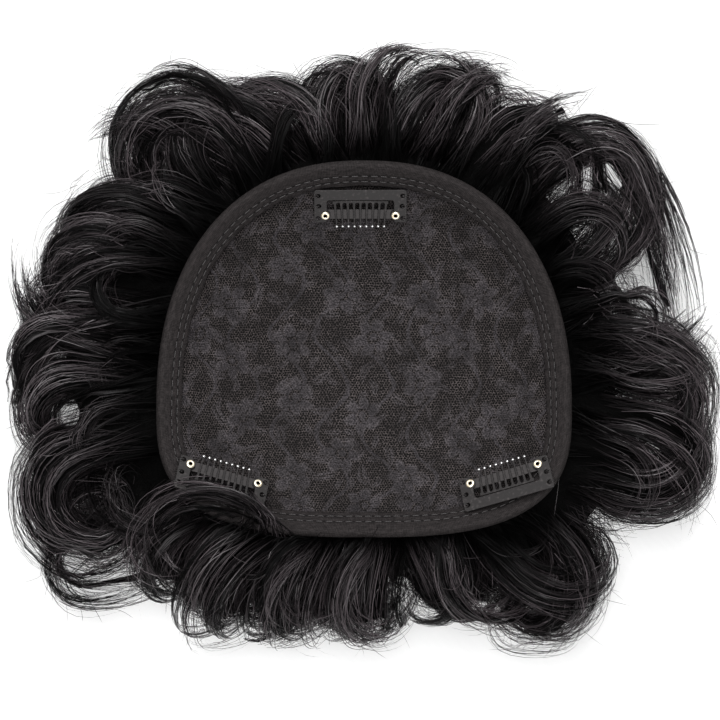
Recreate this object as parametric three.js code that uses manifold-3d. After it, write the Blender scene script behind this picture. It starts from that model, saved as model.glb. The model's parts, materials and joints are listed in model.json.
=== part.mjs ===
// A curly hair topper with three snap clips, lying upside down on its own hair, inside of the cap up.
// Millimetres, +Z up. The origin is on the table under the middle of the cap, +Y towards the
// round back edge of the cap and -Y towards its straighter front edge.
import * as THREE from "three";
import { mergeVertices } from "three/addons/utils/BufferGeometryUtils.js";
import Module from "manifold-3d";

const wasm = await Module();
wasm.setup();

// Cap: a shallow lace bowl
const capWidth = 139.7;
const capLength = 126.3;
const frontLength = 41.9; // from the widest line of the cap to its front edge
const backRoundness = 2.3; // 2 is an ellipse, more is squarer
const frontRoundness = 2.9;
const capDepth = 24;
const capHeight = 19; // hair under the lowest point of the lace
const edgeBend = THREE.MathUtils.degToRad(44); // how far the bowl has bent up at its edge
const laceWall = 1;
const gap = 0.3; // clearance between pieces that touch on the real topper

// Edge binding: a ribbon folded over the edge of the lace
const bindingInside = 7.6;
const bindingOutside = 6;
const bindingWall = 0.9;
const bindingFold = 0.4; // how far the fold bulges past its own legs

// Hair: a bed of hair under the cap, with curled locks out of it
const hairSpread = 48; // the size that the runs and curls of the locks are shares of
const lockWidth = 20;
const lockThickness = 16;
const rootInset = 8; // locks start this far inside the edge of the cap
const hairOverBinding = 5; // hair that laps over the binding stays this far off it

// Snap clips: stamped sheet steel, sewn to the lace
const clipWidth = 32;
const clipLength = 12.4; // from the back of the bar to the ends of the two arms
const clipSheet = 0.55;
const clipBar = 3.9;
const clipArm = 4.4;
const clipCorner = 0.9;
const sewingHole = 1.7;
const toothPitch = 2.2; // at the root
const tipPitch = 2.05; // the teeth lean together a little
const toothLength = 9.2;
const toothRoot = 0.85;
const toothTip = 0.55;
const toothBall = 0.5; // radius of the blunt end of a tooth
const combRoot = 1.2;
const stripWidth = 3.6;
const stripInset = 2.5; // from the end of the plate to the end of the strip
const stripSheet = 0.5;
const rivetInset = 3.85; // from the end of the plate
const rivetLine = 9.7; // from the back of the bar
const rivetHead = 3.05;
const rivetBarrel = 1.9;
const rivetBore = 1.15;
const rivetLug = 3.6; // the arm widens to a round lug under its rivet
const rivetFlange = 0.4;

const capStations = 48;
const bedStations = 24;
const bowlRings = 5;
const lockSides = 5;
const rivetSides = 8;
const holeSides = 6;
const turnPerStation = 48; // degrees of a curl between two of its sections
const rimHeight = capHeight + capDepth;
const degrees = THREE.MathUtils.degToRad;

// What follows from the sizes of a clip: as many teeth as fit between the lugs
const stripLength = clipWidth - 2 * stripInset;
const rivetSpacing = clipWidth - 2 * rivetInset;
const toothRoom = rivetSpacing - rivetLug - toothRoot - 2 * gap;
const toothCount = 1 + Math.floor(toothRoom / toothPitch);

// A lock's columns. at, lean: place on the rim and turn of its heading, in degrees. rise: upward slope
// of its start. height: start, as a share of the rim's height. run, radius1, radius2: shares of
// hairSpread. turn1, turn2: degrees of the two arcs that follow the run, to the left or, where
// negative, to the right. tilt: how far the curl's plane dips. width, thickness: shares of the lock sizes.
const lockColumns = ["name", "at", "lean", "rise", "height", "run", "turn1", "radius1", "turn2", "radius2",
  "tilt", "width", "thickness"];
const lockRows = [
  ["big_swirl", 119, 7, 10, 0.51, 0.74, 160, 0.36, 230, 0.23, 16, 1.1, 1.08],
  ["back_a", 107, 18, 14, 0.51, 0.58, 120, 0.4, 120, 0.25, 26, 0.9, 0.92],
  ["back_b", 98, 12, 20, 0.47, 0.5, -150, 0.25, -120, 0.17, 35, 1, 0.92],
  ["back_c", 89, -3, 16, 0.47, 0.54, 140, 0.25, 140, 0.17, 30, 0.9, 1],
  ["back_hook", 81, -4, 16, 0.51, 0.6, -170, 0.21, -110, 0.15, 40, 0.8, 0.83],
  ["back_d", 69, -12, 18, 0.47, 0.62, 150, 0.27, 120, 0.19, 50, 1, 1.08],
  ["back_e", 59, -1, 16, 0.47, 0.64, -140, 0.29, -150, 0.21, 35, 1, 1.08],
  ["right_long", 45, -1, 8, 0.47, 0.78, -105, 0.3, -20, 3.4, 8, 0.6, 0.7],
  ["right_loop", 50, -1, 14, 0.6, 0.72, -120, 0.2, -90, 0.42, 14, 0.65, 0.7],
  ["right_tuft", 49, 8, 14, 0.68, 0.72, -20, 0.62, -20, 0.62, 20, 0.6, 0.67],
  ["right_a", 14, 28, 12, 0.56, 0.31, -100, 0.24, -60, 0.62, 12, 0.8, 0.83],
  ["right_b", 6, -14, 10, 0.47, 0.98, -120, 0.21, -90, 0.19, 20, 0.8, 0.92],
  ["right_c", -6, 12, 10, 0.47, 0.84, -100, 0.31, -60, 0.83, 14, 0.9, 0.92],
  ["right_d", -18, 14, 12, 0.47, 0.82, -120, 0.31, -100, 0.25, 25, 0.9, 1],
  ["right_e", -31, 4, 12, 0.47, 0.68, 120, 0.37, 150, 0.25, 25, 1.1, 1.08],
  ["right_f", -45, 0, 12, 0.47, 0.6, -130, 0.37, -140, 0.25, 30, 1.1, 1.08],
  ["right_g", -58, 4, 16, 0.47, 0.58, 130, 0.37, 140, 0.25, 35, 1.1, 1.08],
  ["front_roll_a", -70, -6, 30, 0.51, 0.17, 150, 0.34, 90, 0.25, 72, 1.3, 1],
  ["front_roll_b", -87, -24, 32, 0.51, 0.27, 150, 0.39, 90, 0.25, 70, 1.6, 1],
  ["front_roll_c", -103, -30, 32, 0.56, 0.3, 150, 0.4, 90, 0.27, 64, 1.6, 1.08],
  ["front_roll_d", -116, -42, 34, 0.6, 0.33, 140, 0.42, 90, 0.27, 50, 1.6, 1.08],
  ["front_roll_e", -129, -38, 24, 0.56, 0.42, 130, 0.33, 90, 0.25, 40, 1, 0.92],
  ["long_hook", -138, -22, 2, 0.33, 1.13, 150, 0.21, 40, 1.1, 4, 0.7, 0.62],
  ["ring_curl", -156, -18, 10, 0.6, 0.73, 180, 0.39, 240, 0.25, 12, 1, 1.17],
  ["left_a", -171, -8, 10, 0.51, 0.88, 110, 0.27, 140, 0.21, 20, 0.9, 1],
  ["left_b", 178, -4, 12, 0.51, 0.93, 190, 0.23, 120, 0.17, 22, 0.9, 1],
  ["left_c", 168, -4, 12, 0.51, 0.87, 190, 0.23, 120, 0.17, 25, 0.9, 1],
  ["left_d", 157, -4, 12, 0.51, 0.79, 150, 0.27, 130, 0.19, 28, 1, 1],
  ["left_e", 146, -2, 12, 0.51, 0.66, 130, 0.33, 140, 0.23, 28, 1.1, 1],
  ["left_f", 134, -2, 14, 0.51, 0.56, -120, 0.29, -130, 0.21, 28, 0.9, 1],
  ["high_a", 124, -8, 4, 0.72, 0.58, 140, 0.23, 110, 0.17, 24, 0.8, 0.75],
  ["high_b", 84, -6, 4, 0.72, 0.46, 130, 0.21, 110, 0.16, 26, 0.8, 0.75],
  ["high_c", 30, 16, 6, 0.72, 0.5, -110, 0.25, -60, 0.4, 20, 0.8, 0.75],
  ["high_d", -24, 8, 6, 0.72, 0.58, -120, 0.25, -90, 0.19, 22, 0.9, 0.75],
  ["high_e", -65, 0, 10, 0.72, 0.37, -130, 0.27, -110, 0.19, 40, 1, 0.75],
  ["high_f", -166, -10, 6, 0.72, 0.55, 130, 0.25, 110, 0.17, 22, 0.9, 0.75],
  ["high_g", 152, -6, 6, 0.72, 0.52, 130, 0.23, 120, 0.17, 24, 0.8, 0.75],
  ["high_h", 138, 4, 6, 0.72, 0.48, 120, 0.29, 110, 0.21, 24, 0.9, 0.75],
];
const locks = lockRows.map((row) => Object.fromEntries(row.map((value, i) => [lockColumns[i], value])));

// Rings of the bed: share of the rim's radius and share of the rim's height
const bedRows = [
  { share: 0.78, height: -0.02 },
  { share: 1.14, height: 0.1 },
  { share: 1.34, height: 0.36 },
  { share: 1.26, height: 0.6 },
  { share: 1, height: 0.82 },
];

// Sewing holes of a clip's arm: shares of clipArm from its outer edge and of clipLength from the bar
const sewingHoles = [
  { fromEdge: 0.32, along: 0.18 },
  { fromEdge: 0.36, along: 0.5 },
  { fromEdge: 0.3, along: 0.88 },
];

// Where each clip's bar lies: angle on the rim, distance inside the rim as a share of bindingInside
// and turn from facing inward
const clipRows = [
  { name: "back", at: 91.3, inset: 1.04, turn: -1.3 },
  { name: "left", at: -134, inset: 0.605, turn: 32.6 },
  { name: "right", at: -46, inset: 0.605, turn: -32.6 },
];

// A closed surface through sections with as many points each, capped, or joined up where looped
function loft(sections, { looped = false, start, end } = {}) {
  const count = sections[0].length;
  const points = sections.flat();
  const faces = [];
  const spans = looped ? sections.length : sections.length - 1;
  for (let s = 0; s < spans; s++)
    for (let i = 0; i < count; i++) {
      const next = (i + 1) % count;
      const here = s * count;
      const there = ((s + 1) % sections.length) * count;
      faces.push(here + i, here + next, there + next, here + i, there + next, there + i);
    }
  const middle = (ring) =>
    ring.reduce((sum, p) => sum.add(p), new THREE.Vector3()).divideScalar(ring.length);
  if (!looped) {
    const last = (sections.length - 1) * count;
    const startPole = points.push(start ?? middle(sections[0])) - 1;
    const endPole = points.push(end ?? middle(sections.at(-1))) - 1;
    for (let i = 0; i < count; i++) {
      const next = (i + 1) % count;
      faces.push(startPole, next, i, endPole, last + i, last + next);
    }
  }
  const geometry = new THREE.BufferGeometry().setFromPoints(points).setIndex(faces);
  return signedVolume(geometry) < 0 ? turnedInsideOut(geometry) : geometry;
}

function signedVolume(geometry) {
  const { index, attributes } = geometry;
  const corner = (i) => new THREE.Vector3().fromBufferAttribute(attributes.position, index.getX(i));
  let volume = 0;
  for (let i = 0; i < index.count; i += 3)
    volume += corner(i).dot(corner(i + 1).cross(corner(i + 2))) / 6;
  return volume;
}

function turnedInsideOut(geometry) {
  return geometry.setIndex([...geometry.index.array].reverse());
}

// Three.js geometry to a solid that can be joined and cut, and back
function solidOf(geometry) {
  const bare = geometry.clone();
  for (const name of ["normal", "uv"]) bare.deleteAttribute(name);
  const merged = mergeVertices(bare, 1e-4);
  return new wasm.Manifold(new wasm.Mesh({
    numProp: 3,
    vertProperties: new Float32Array(merged.attributes.position.array),
    triVerts: new Uint32Array(merged.index.array),
  }));
}

function geometryOf(solid) {
  const mesh = solid.getMesh();
  const positions = new THREE.BufferAttribute(new Float32Array(mesh.vertProperties), 3);
  return new THREE.BufferGeometry().setAttribute("position", positions)
    .setIndex(new THREE.BufferAttribute(new Uint32Array(mesh.triVerts), 1));
}

// Radius of the cap's outline from its middle, at an angle
function rimRadius(angle) {
  const widestLine = frontLength - capLength / 2;
  const backLength = capLength - frontLength;
  const outside = (radius) => {
    const across = Math.abs(radius * Math.cos(angle)) / (capWidth / 2);
    const along = radius * Math.sin(angle) - widestLine;
    return along > 0
      ? across ** backRoundness + (along / backLength) ** backRoundness > 1
      : across ** frontRoundness + (-along / frontLength) ** frontRoundness > 1;
  };
  let low = 0;
  let high = capWidth + capLength;
  for (let i = 0; i < 40; i++) {
    const middle = (low + high) / 2;
    if (outside(middle)) high = middle;
    else low = middle;
  }
  return low;
}

// A point on the underside of the lace: bend is 0 at the middle of the bowl and edgeBend at its edge
function bowlPoint(angle, bend) {
  const radius = rimRadius(angle) * Math.sin(bend) / Math.sin(edgeBend);
  const height = capHeight + capDepth * (1 - Math.cos(bend)) / (1 - Math.cos(edgeBend));
  return new THREE.Vector3(radius * Math.cos(angle), radius * Math.sin(angle), height);
}

function bowlNormal(angle, bend) {
  const step = 0.002;
  const along = bowlPoint(angle, bend + step).sub(bowlPoint(angle, bend - step));
  const around = bowlPoint(angle + step, bend).sub(bowlPoint(angle - step, bend));
  return along.cross(around).normalize();
}

function shellPoint(angle, bend, offset) {
  return bowlPoint(angle, bend).addScaledVector(bowlNormal(angle, bend), offset);
}

// A point given by its distance inward from the edge, along the lace, and its height off the lace
function edgePoint(angle, inward, offset) {
  const step = 0.01;
  const perBend = bowlPoint(angle, edgeBend).distanceTo(bowlPoint(angle, edgeBend - step)) / step;
  return shellPoint(angle, edgeBend - inward / perBend, offset);
}

const anglesOf = (stations) => Array.from({ length: stations }, (_, i) => (2 * Math.PI * i) / stations);
const ringOf = (pointAt) => anglesOf(capStations).map(pointAt);

function laceCap() {
  const bends = Array.from({ length: bowlRings }, (_, i) => (edgeBend * (i + 1)) / bowlRings);
  const under = bends.map((bend) => ringOf((angle) => shellPoint(angle, bend, 0)));
  const over = bends.map((bend) => ringOf((angle) => shellPoint(angle, bend, laceWall)));
  return loft([...under, ...over.reverse()], {
    start: new THREE.Vector3(0, 0, capHeight),
    end: new THREE.Vector3(0, 0, capHeight + laceWall),
  });
}

function edgeBinding() {
  const insideFace = laceWall + gap;
  const outsideFace = -gap;
  const top = insideFace + bindingWall;
  const bottom = outsideFace - bindingWall;
  const fold = -gap - bindingWall;
  const outline = [
    [fold, bottom], [bindingOutside, bottom], [bindingOutside, outsideFace], [-gap, outsideFace],
    [-gap, insideFace], [bindingInside, insideFace], [bindingInside, top], [fold, top],
    [fold - bindingFold, (top + bottom) / 2],
  ];
  const section = (angle) => outline.map(([inward, offset]) => edgePoint(angle, inward, offset));
  return loft(ringOf(section), { looped: true });
}

// The space that hair stays out of: the cap and its binding, and the open bowl over them
function capSpace() {
  const under = -gap;
  const underBinding = -gap - bindingWall - gap;
  const beyond = -gap - bindingWall - bindingFold - gap;
  const overBinding = laceWall + gap + bindingWall + gap;
  const bends = Array.from({ length: bowlRings - 1 }, (_, i) => (edgeBend * (i + 1)) / bowlRings);
  const rings = bends.map((bend) => ringOf((angle) => shellPoint(angle, bend, under)));
  const profile = [
    [bindingOutside + 3 * gap, under], [bindingOutside + gap, underBinding], [beyond, underBinding],
    [beyond, overBinding], [bindingInside, overBinding + hairOverBinding],
  ];
  for (const [inward, offset] of profile) rings.push(ringOf((angle) => edgePoint(angle, inward, offset)));
  const sky = rimHeight + hairSpread;
  rings.push(rings.at(-1).map((p) => new THREE.Vector3(p.x, p.y, sky)));
  return loft(rings, { start: new THREE.Vector3(0, 0, capHeight + under) });
}

function hairBed() {
  return loft(bedRows.map(({ share, height }) => anglesOf(bedStations).map((angle) => {
    const radius = share * rimRadius(angle);
    return new THREE.Vector3(radius * Math.cos(angle), radius * Math.sin(angle), height * rimHeight);
  })));
}

// A lock's width along its length, from 0 at the root to 1 at the tip
function lockTaper(t) {
  const full = 0.6;
  return t < full ? 1 : 1 - 0.7 * ((t - full) / (1 - full)) ** 1.5;
}

// The stations of a lock: a straight run and two arcs in one plane, which tilt turns downward
function lockStations(lock) {
  const at = degrees(lock.at);
  const heading = degrees(lock.at + lock.lean);
  const rise = degrees(lock.rise);
  const tilt = degrees(lock.tilt);
  const rootRadius = rimRadius(at) - rootInset;
  const ahead = new THREE.Vector3(
    Math.cos(heading) * Math.cos(rise), Math.sin(heading) * Math.cos(rise), Math.sin(rise));
  const left = new THREE.Vector3(-Math.sin(heading), Math.cos(heading), 0);
  const down = left.clone().cross(ahead);
  if (down.z > 0) down.negate();
  const inward = left.multiplyScalar(Math.cos(tilt) * Math.sign(lock.turn1));
  inward.addScaledVector(down, Math.sin(tilt));
  const across = ahead.clone().cross(inward);
  const parts = [{ turn: 0, length: lock.run * hairSpread, steps: 1 }];
  for (const [turn, radius] of [[lock.turn1, lock.radius1], [lock.turn2, lock.radius2]]) {
    const angle = degrees(Math.abs(turn));
    const steps = Math.max(1, Math.round(Math.abs(turn) / turnPerStation));
    parts.push({ turn: angle, length: angle * radius * hairSpread, steps });
  }
  const total = parts.reduce((sum, part) => sum + part.length, 0);
  const direction = (bend) =>
    ahead.clone().multiplyScalar(Math.cos(bend)).addScaledVector(inward, Math.sin(bend));
  const point = new THREE.Vector3(rootRadius * Math.cos(at), rootRadius * Math.sin(at), 0);
  point.z = lock.height * rimHeight;
  let bend = 0;
  let travelled = 0;
  const station = () => ({
    point: point.clone(), t: travelled / total, across, side: direction(bend + Math.PI / 2) });
  const stations = [station()];
  for (const { turn, length, steps } of parts)
    for (let i = 0; i < steps; i++) {
      const step = turn / steps;
      const arc = length / steps;
      const chord = step > 0 ? (2 * arc / step) * Math.sin(step / 2) : arc;
      point.addScaledVector(direction(bend + step / 2), chord);
      bend += step;
      travelled += arc;
      stations.push(station());
    }
  return { stations, split: parts[0].steps + parts[1].steps };
}

// A lock is two tubes, so that its curl may come round over its own start
function lockTubes(lock) {
  const { stations, split } = lockStations(lock);
  const sections = stations.map(({ point, t, across, side }) => {
    const width = (lock.width * lockWidth * lockTaper(t)) / 2;
    const thickness = (lock.thickness * lockThickness * lockTaper(t)) / 2;
    return anglesOf(lockSides).map((turn) => {
      return point.clone().addScaledVector(across, width * Math.cos(turn))
        .addScaledVector(side, thickness * Math.sin(turn));
    });
  });
  return [loft(sections.slice(0, split + 1)), loft(sections.slice(split))];
}

function hair() {
  const tableSize = 4 * (capWidth + hairSpread);
  const table = new THREE.BoxGeometry(tableSize, tableSize, tableSize).translate(0, 0, -tableSize / 2);
  const grown = wasm.Manifold.union([hairBed(), ...locks.flatMap(lockTubes)].map(solidOf));
  const trimmed = grown.subtract(solidOf(capSpace())).subtract(solidOf(table));
  const largest = trimmed.decompose().sort((a, b) => b.volume() - a.volume())[0];
  return geometryOf(largest);
}

// The height of what a clip lies on, lace or binding, over a point of the plan
function bowlTop(x, y) {
  const angle = Math.atan2(y, x);
  const share = Math.min(Math.hypot(x, y) / rimRadius(angle), 1);
  const bend = Math.asin(share * Math.sin(edgeBend));
  const inward = bowlPoint(angle, edgeBend).distanceTo(bowlPoint(angle, bend));
  const bindingTop = laceWall + gap + bindingWall;
  const bindingReach = bindingInside + gap + bindingTop * Math.tan(edgeBend);
  const offset = inward < bindingReach ? bindingTop : laceWall;
  return bowlPoint(angle, bend).z + offset / bowlNormal(angle, bend).z;
}

const plateBottom = stripSheet + gap;
const combStart = clipBar + gap;
const hingeLine = combStart + combRoot / 2;

// Sets a clip flat over the bowl, teeth inward, as low as its outline allows
function clipFrame({ at, inset, turn }) {
  const angle = degrees(at);
  const barRadius = rimRadius(angle) - inset * bindingInside;
  const rim = new THREE.Vector2(Math.cos(angle), Math.sin(angle)).multiplyScalar(barRadius);
  const facing = angle + Math.PI + degrees(turn);
  const centre = new THREE.Vector2(Math.cos(facing), Math.sin(facing));
  centre.multiplyScalar(clipLength / 2).add(rim);
  const centreAngle = Math.atan2(centre.y, centre.x);
  const centreBend = Math.asin((centre.length() / rimRadius(centreAngle)) * Math.sin(edgeBend));
  const up = bowlNormal(centreAngle, centreBend);
  const teeth = new THREE.Vector3(Math.cos(facing), Math.sin(facing), 0);
  teeth.z = -(teeth.x * up.x + teeth.y * up.y) / up.z;
  teeth.normalize();
  const across = teeth.clone().cross(up);
  const frame = new THREE.Matrix4().makeBasis(across, teeth, up).setPosition(rim.x, rim.y, 0);
  let lift = 0;
  const steps = 16;
  for (let i = 0; i <= steps; i++)
    for (let j = 0; j <= steps; j++) {
      const along = (j / steps) * (combStart + combRoot + toothLength);
      const behindTeeth = Math.abs(along - rivetLine) < stripWidth / 2 + 1;
      const low = new THREE.Vector3((i / steps - 0.5) * clipWidth, along, behindTeeth ? 0 : plateBottom);
      low.applyMatrix4(frame);
      lift = Math.max(lift, bowlTop(low.x, low.y) + gap / up.z - low.z);
    }
  return frame.setPosition(rim.x, rim.y, lift);
}

function roundHole(x, y, diameter) {
  return new THREE.Path(anglesOf(holeSides).map((turn) =>
    new THREE.Vector2(x + (diameter / 2) * Math.cos(turn), y + (diameter / 2) * Math.sin(turn))));
}

const sheet = (shape, thickness, bottom) =>
  new THREE.ExtrudeGeometry(shape, { depth: thickness, bevelEnabled: false, curveSegments: 3 })
    .translate(0, 0, bottom);

// The bar and two arms, with three sewing holes in each arm and one hole for its rivet
function clipPlate() {
  const half = clipWidth / 2;
  const inner = half - clipArm;
  const lug = rivetLug / 2;
  const lugTurn = Math.acos((inner - rivetSpacing / 2) / lug);
  const shape = new THREE.Shape();
  shape.moveTo(-half + clipCorner, 0).lineTo(half - clipCorner, 0);
  shape.absarc(half - clipCorner, clipCorner, clipCorner, -Math.PI / 2, 0, false);
  shape.absarc(half - clipCorner, clipLength - clipCorner, clipCorner, 0, Math.PI / 2, false);
  shape.lineTo(inner, clipLength);
  shape.absarc(rivetSpacing / 2, rivetLine, lug, lugTurn, 2 * Math.PI - lugTurn, false);
  shape.lineTo(inner, clipBar).lineTo(-inner, clipBar);
  shape.absarc(-rivetSpacing / 2, rivetLine, lug, lugTurn - Math.PI, Math.PI - lugTurn, false);
  shape.lineTo(-inner, clipLength);
  shape.absarc(-half + clipCorner, clipLength - clipCorner, clipCorner, Math.PI / 2, Math.PI, false);
  shape.absarc(-half + clipCorner, clipCorner, clipCorner, Math.PI, 1.5 * Math.PI, false);
  for (const side of [-1, 1]) {
    for (const { fromEdge, along } of sewingHoles)
      shape.holes.push(roundHole(side * (half - clipArm * fromEdge), clipLength * along, sewingHole));
    shape.holes.push(roundHole((side * rivetSpacing) / 2, rivetLine, rivetBarrel + 2 * gap));
  }
  return sheet(shape, clipSheet, plateBottom);
}

// The narrow spring strip behind the teeth, held under both arms by the rivets
function clipStrip() {
  const halfLength = stripLength / 2;
  const halfWidth = stripWidth / 2;
  const shape = new THREE.Shape([[-halfLength, -halfWidth], [halfLength, -halfWidth],
    [halfLength, halfWidth], [-halfLength, halfWidth]].map(([x, y]) => new THREE.Vector2(x, rivetLine + y)));
  for (const side of [-1, 1])
    shape.holes.push(roundHole((side * rivetSpacing) / 2, rivetLine, rivetBarrel + 2 * gap));
  return sheet(shape, stripSheet, 0);
}

// The comb: a root bar beside the plate's bar, and blunt teeth that reach over the strip
function clipTeeth() {
  const outline = [];
  const start = combStart;
  const base = combStart + combRoot;
  const tipCentre = base + toothLength - toothBall;
  const half = ((toothCount - 1) * toothPitch) / 2;
  outline.push(new THREE.Vector2(-half - toothRoot, start), new THREE.Vector2(half + toothRoot, start));
  for (let i = toothCount - 1; i >= 0; i--) {
    const root = (i - (toothCount - 1) / 2) * toothPitch;
    const tip = (i - (toothCount - 1) / 2) * tipPitch;
    outline.push(new THREE.Vector2(root + toothRoot / 2, base));
    outline.push(new THREE.Vector2(tip + toothTip / 2, tipCentre - toothBall));
    for (const turn of [0.1, 0.5, 0.9])
      outline.push(new THREE.Vector2(
        tip + toothBall * Math.cos(turn * Math.PI), tipCentre + toothBall * Math.sin(turn * Math.PI)));
    outline.push(new THREE.Vector2(tip - toothTip / 2, tipCentre - toothBall));
    outline.push(new THREE.Vector2(root - toothRoot / 2, base));
  }
  return sheet(new THREE.Shape(outline), clipSheet, plateBottom);
}

// A hollow brass rivet: a rolled head on the plate and a barrel down through plate and strip
function clipRivet(side) {
  const top = plateBottom + clipSheet + gap;
  const head = top + rivetFlange;
  const profile = [
    [rivetBore / 2, 0], [rivetBarrel / 2, 0], [rivetBarrel / 2, top], [rivetHead / 2, top],
    [(rivetHead - rivetFlange) / 2, head], [rivetBore / 2, head], [rivetBore / 2, 0],
  ];
  return new THREE.LatheGeometry(profile.map(([x, y]) => new THREE.Vector2(x, y)), rivetSides)
    .rotateX(Math.PI / 2).translate((side * rivetSpacing) / 2, rivetLine, 0);
}

const laceBlack = new THREE.MeshStandardMaterial({ color: 0x2e2d30, roughness: 0.9, metalness: 0 });
const ribbonBlack = new THREE.MeshStandardMaterial({ color: 0x343336, roughness: 0.85, metalness: 0 });
const hairBlack = new THREE.MeshStandardMaterial({ color: 0x141216, roughness: 0.45, metalness: 0 });
const enamelBlack = new THREE.MeshStandardMaterial({ color: 0x1b1b1d, roughness: 0.35, metalness: 0.3 });
const brass = new THREE.MeshStandardMaterial({ color: 0xc9a36a, roughness: 0.3, metalness: 1 });

function piece(name, geometry, material) {
  const mesh = new THREE.Mesh(geometry, material.clone());
  mesh.name = name;
  return mesh;
}

function snapClip(row) {
  const clip = new THREE.Group();
  clip.applyMatrix4(clipFrame(row));
  const name = (part) => `clip_${row.name}_${part}`;
  clip.add(
    piece(name("plate"), clipPlate(), enamelBlack),
    piece(name("strip"), clipStrip(), enamelBlack),
    piece(name("teeth"), clipTeeth(), enamelBlack),
    piece(name("rivet_left"), clipRivet(-1), brass),
    piece(name("rivet_right"), clipRivet(1), brass),
  );
  return clip;
}

const topper = new THREE.Group();
topper.add(
  piece("lace_cap", laceCap(), laceBlack),
  piece("edge_binding", edgeBinding(), ribbonBlack),
  piece("hair", hair(), hairBlack),
  ...clipRows.map(snapClip),
);

export default topper;
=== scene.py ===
# A curly hair topper lying upside down on its own hair, with the inside of its lace cap up.
# Metres throughout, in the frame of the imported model: +Z up, +Y towards the round back edge of the cap.
import json
import math
import bmesh
import bpy
import numpy as np
from mathutils import Matrix, Vector


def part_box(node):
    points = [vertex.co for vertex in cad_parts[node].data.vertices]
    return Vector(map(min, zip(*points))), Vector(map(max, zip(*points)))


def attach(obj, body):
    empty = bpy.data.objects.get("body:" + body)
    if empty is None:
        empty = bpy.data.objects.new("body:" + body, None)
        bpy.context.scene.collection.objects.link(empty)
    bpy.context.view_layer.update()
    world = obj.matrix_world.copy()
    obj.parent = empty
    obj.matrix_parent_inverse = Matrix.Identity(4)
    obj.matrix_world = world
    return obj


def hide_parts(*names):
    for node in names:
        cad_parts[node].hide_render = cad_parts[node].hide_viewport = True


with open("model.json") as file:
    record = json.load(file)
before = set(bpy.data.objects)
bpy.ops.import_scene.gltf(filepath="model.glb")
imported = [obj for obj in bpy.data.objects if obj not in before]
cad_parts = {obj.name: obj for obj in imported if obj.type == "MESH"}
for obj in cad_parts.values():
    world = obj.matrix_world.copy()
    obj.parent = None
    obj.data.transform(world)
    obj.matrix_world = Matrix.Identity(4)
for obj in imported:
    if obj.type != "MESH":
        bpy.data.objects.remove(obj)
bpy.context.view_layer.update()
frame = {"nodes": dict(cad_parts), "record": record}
MM = 0.001
TURN = 2 * math.pi


# The photo table
# A white, faintly woven surface under soft studio light, and the camera straight above the topper,
# where the photograph was taken from.
class Wire:
    """A socket in a finish's node tree. Python's operators on it add Math nodes."""

    def __init__(self, finish, socket):
        self.finish = finish
        self.socket = socket

    def math(self, operation, *others):
        return self.finish.node("ShaderNodeMath", {"operation": operation}, [self, *others])

    def __add__(self, other):
        return self.math("ADD", other)

    def __sub__(self, other):
        return self.math("SUBTRACT", other)

    def __rsub__(self, other):
        return self.finish.node("ShaderNodeMath", {"operation": "SUBTRACT"}, [other, self])

    def __mul__(self, other):
        return self.math("MULTIPLY", other)

    def __truediv__(self, other):
        return self.math("DIVIDE", other)

    def __mod__(self, other):
        return self.math("FLOORED_MODULO", other)

    def __abs__(self):
        return self.math("ABSOLUTE")

    __radd__ = __add__
    __rmul__ = __mul__

    def smooth(self, low, high):
        """0 below low, 1 above high, and a soft step between."""
        settings = {"interpolation_type": "SMOOTHSTEP"}
        return self.finish.node("ShaderNodeMapRange", settings,
                                {"Value": self, "From Min": low, "From Max": high})

    def wave(self, length):
        """A sine wave from 0 to 1 along the value."""
        return (self * (TURN / length)).math("SINE") * 0.5 + 0.5

    def output(self, name):
        """Another output of the node that this socket is on."""
        return Wire(self.finish, self.socket.node.outputs[name])


class Finish:
    """A material with one Principled shader, whose values are constants or driven by wires."""

    def __init__(self, name, **values):
        self.material = bpy.data.materials.new(name)
        self.material.use_nodes = True
        self.tree = self.material.node_tree
        self.shader = self.tree.nodes["Principled BSDF"]
        self.set(**values)

    def set(self, **values):
        for name, value in values.items():
            self.feed(self.shader.inputs[name.replace("_", " ").title().replace("Ior", "IOR")], value)

    def feed(self, socket, value):
        if isinstance(value, Wire):
            self.tree.links.new(value.socket, socket)
        else:
            socket.default_value = value

    def node(self, kind, settings, inputs, out=0):
        made = self.tree.nodes.new(kind)
        for name, value in settings.items():
            setattr(made, name, value)
        for key, value in inputs.items() if isinstance(inputs, dict) else enumerate(inputs):
            self.feed(made.inputs[key], value)
        return Wire(self, made.outputs[out])

    def place(self):
        return self.node("ShaderNodeTexCoord", {}, {}, "Object")

    def lay(self):
        """The piece's own UV map, in millimetres along the cloth."""
        return self.node("ShaderNodeUVMap", {"uv_map": "lay"}, {})

    def attribute(self, name):
        return self.node("ShaderNodeAttribute", {"attribute_name": name}, {}, "Fac")

    def mapping(self, vector, scale):
        return self.node("ShaderNodeMapping", {}, {"Vector": vector, "Scale": scale})

    def vector_math(self, operation, *vectors):
        return self.node("ShaderNodeVectorMath", {"operation": operation}, vectors)

    def noise(self, vector, scale, detail=2.0, roughness=0.5):
        inputs = {"Vector": vector, "Scale": scale, "Detail": detail, "Roughness": roughness}
        return self.node("ShaderNodeTexNoise", {}, inputs)

    def mix(self, factor, first, second):
        """A colour between two colours."""
        settings = {"data_type": "RGBA"}
        return self.node("ShaderNodeMix", settings, {0: factor, 6: first, 7: second}, 2)

    def bump(self, height, distance, strength=1.0):
        """A normal from a height of 0 to 1, which stands for distance in metres."""
        inputs = {"Height": height, "Distance": distance, "Strength": strength}
        return self.node("ShaderNodeBump", {}, inputs, "Normal")


def grey(value, red=0.0, blue=0.0):
    return (value * (1 + red), value, value * (1 + blue), 1)


def added(name, data):
    """A new object in the scene."""
    made = bpy.data.objects.new(name, data)
    bpy.context.collection.objects.link(made)
    return made


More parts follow.
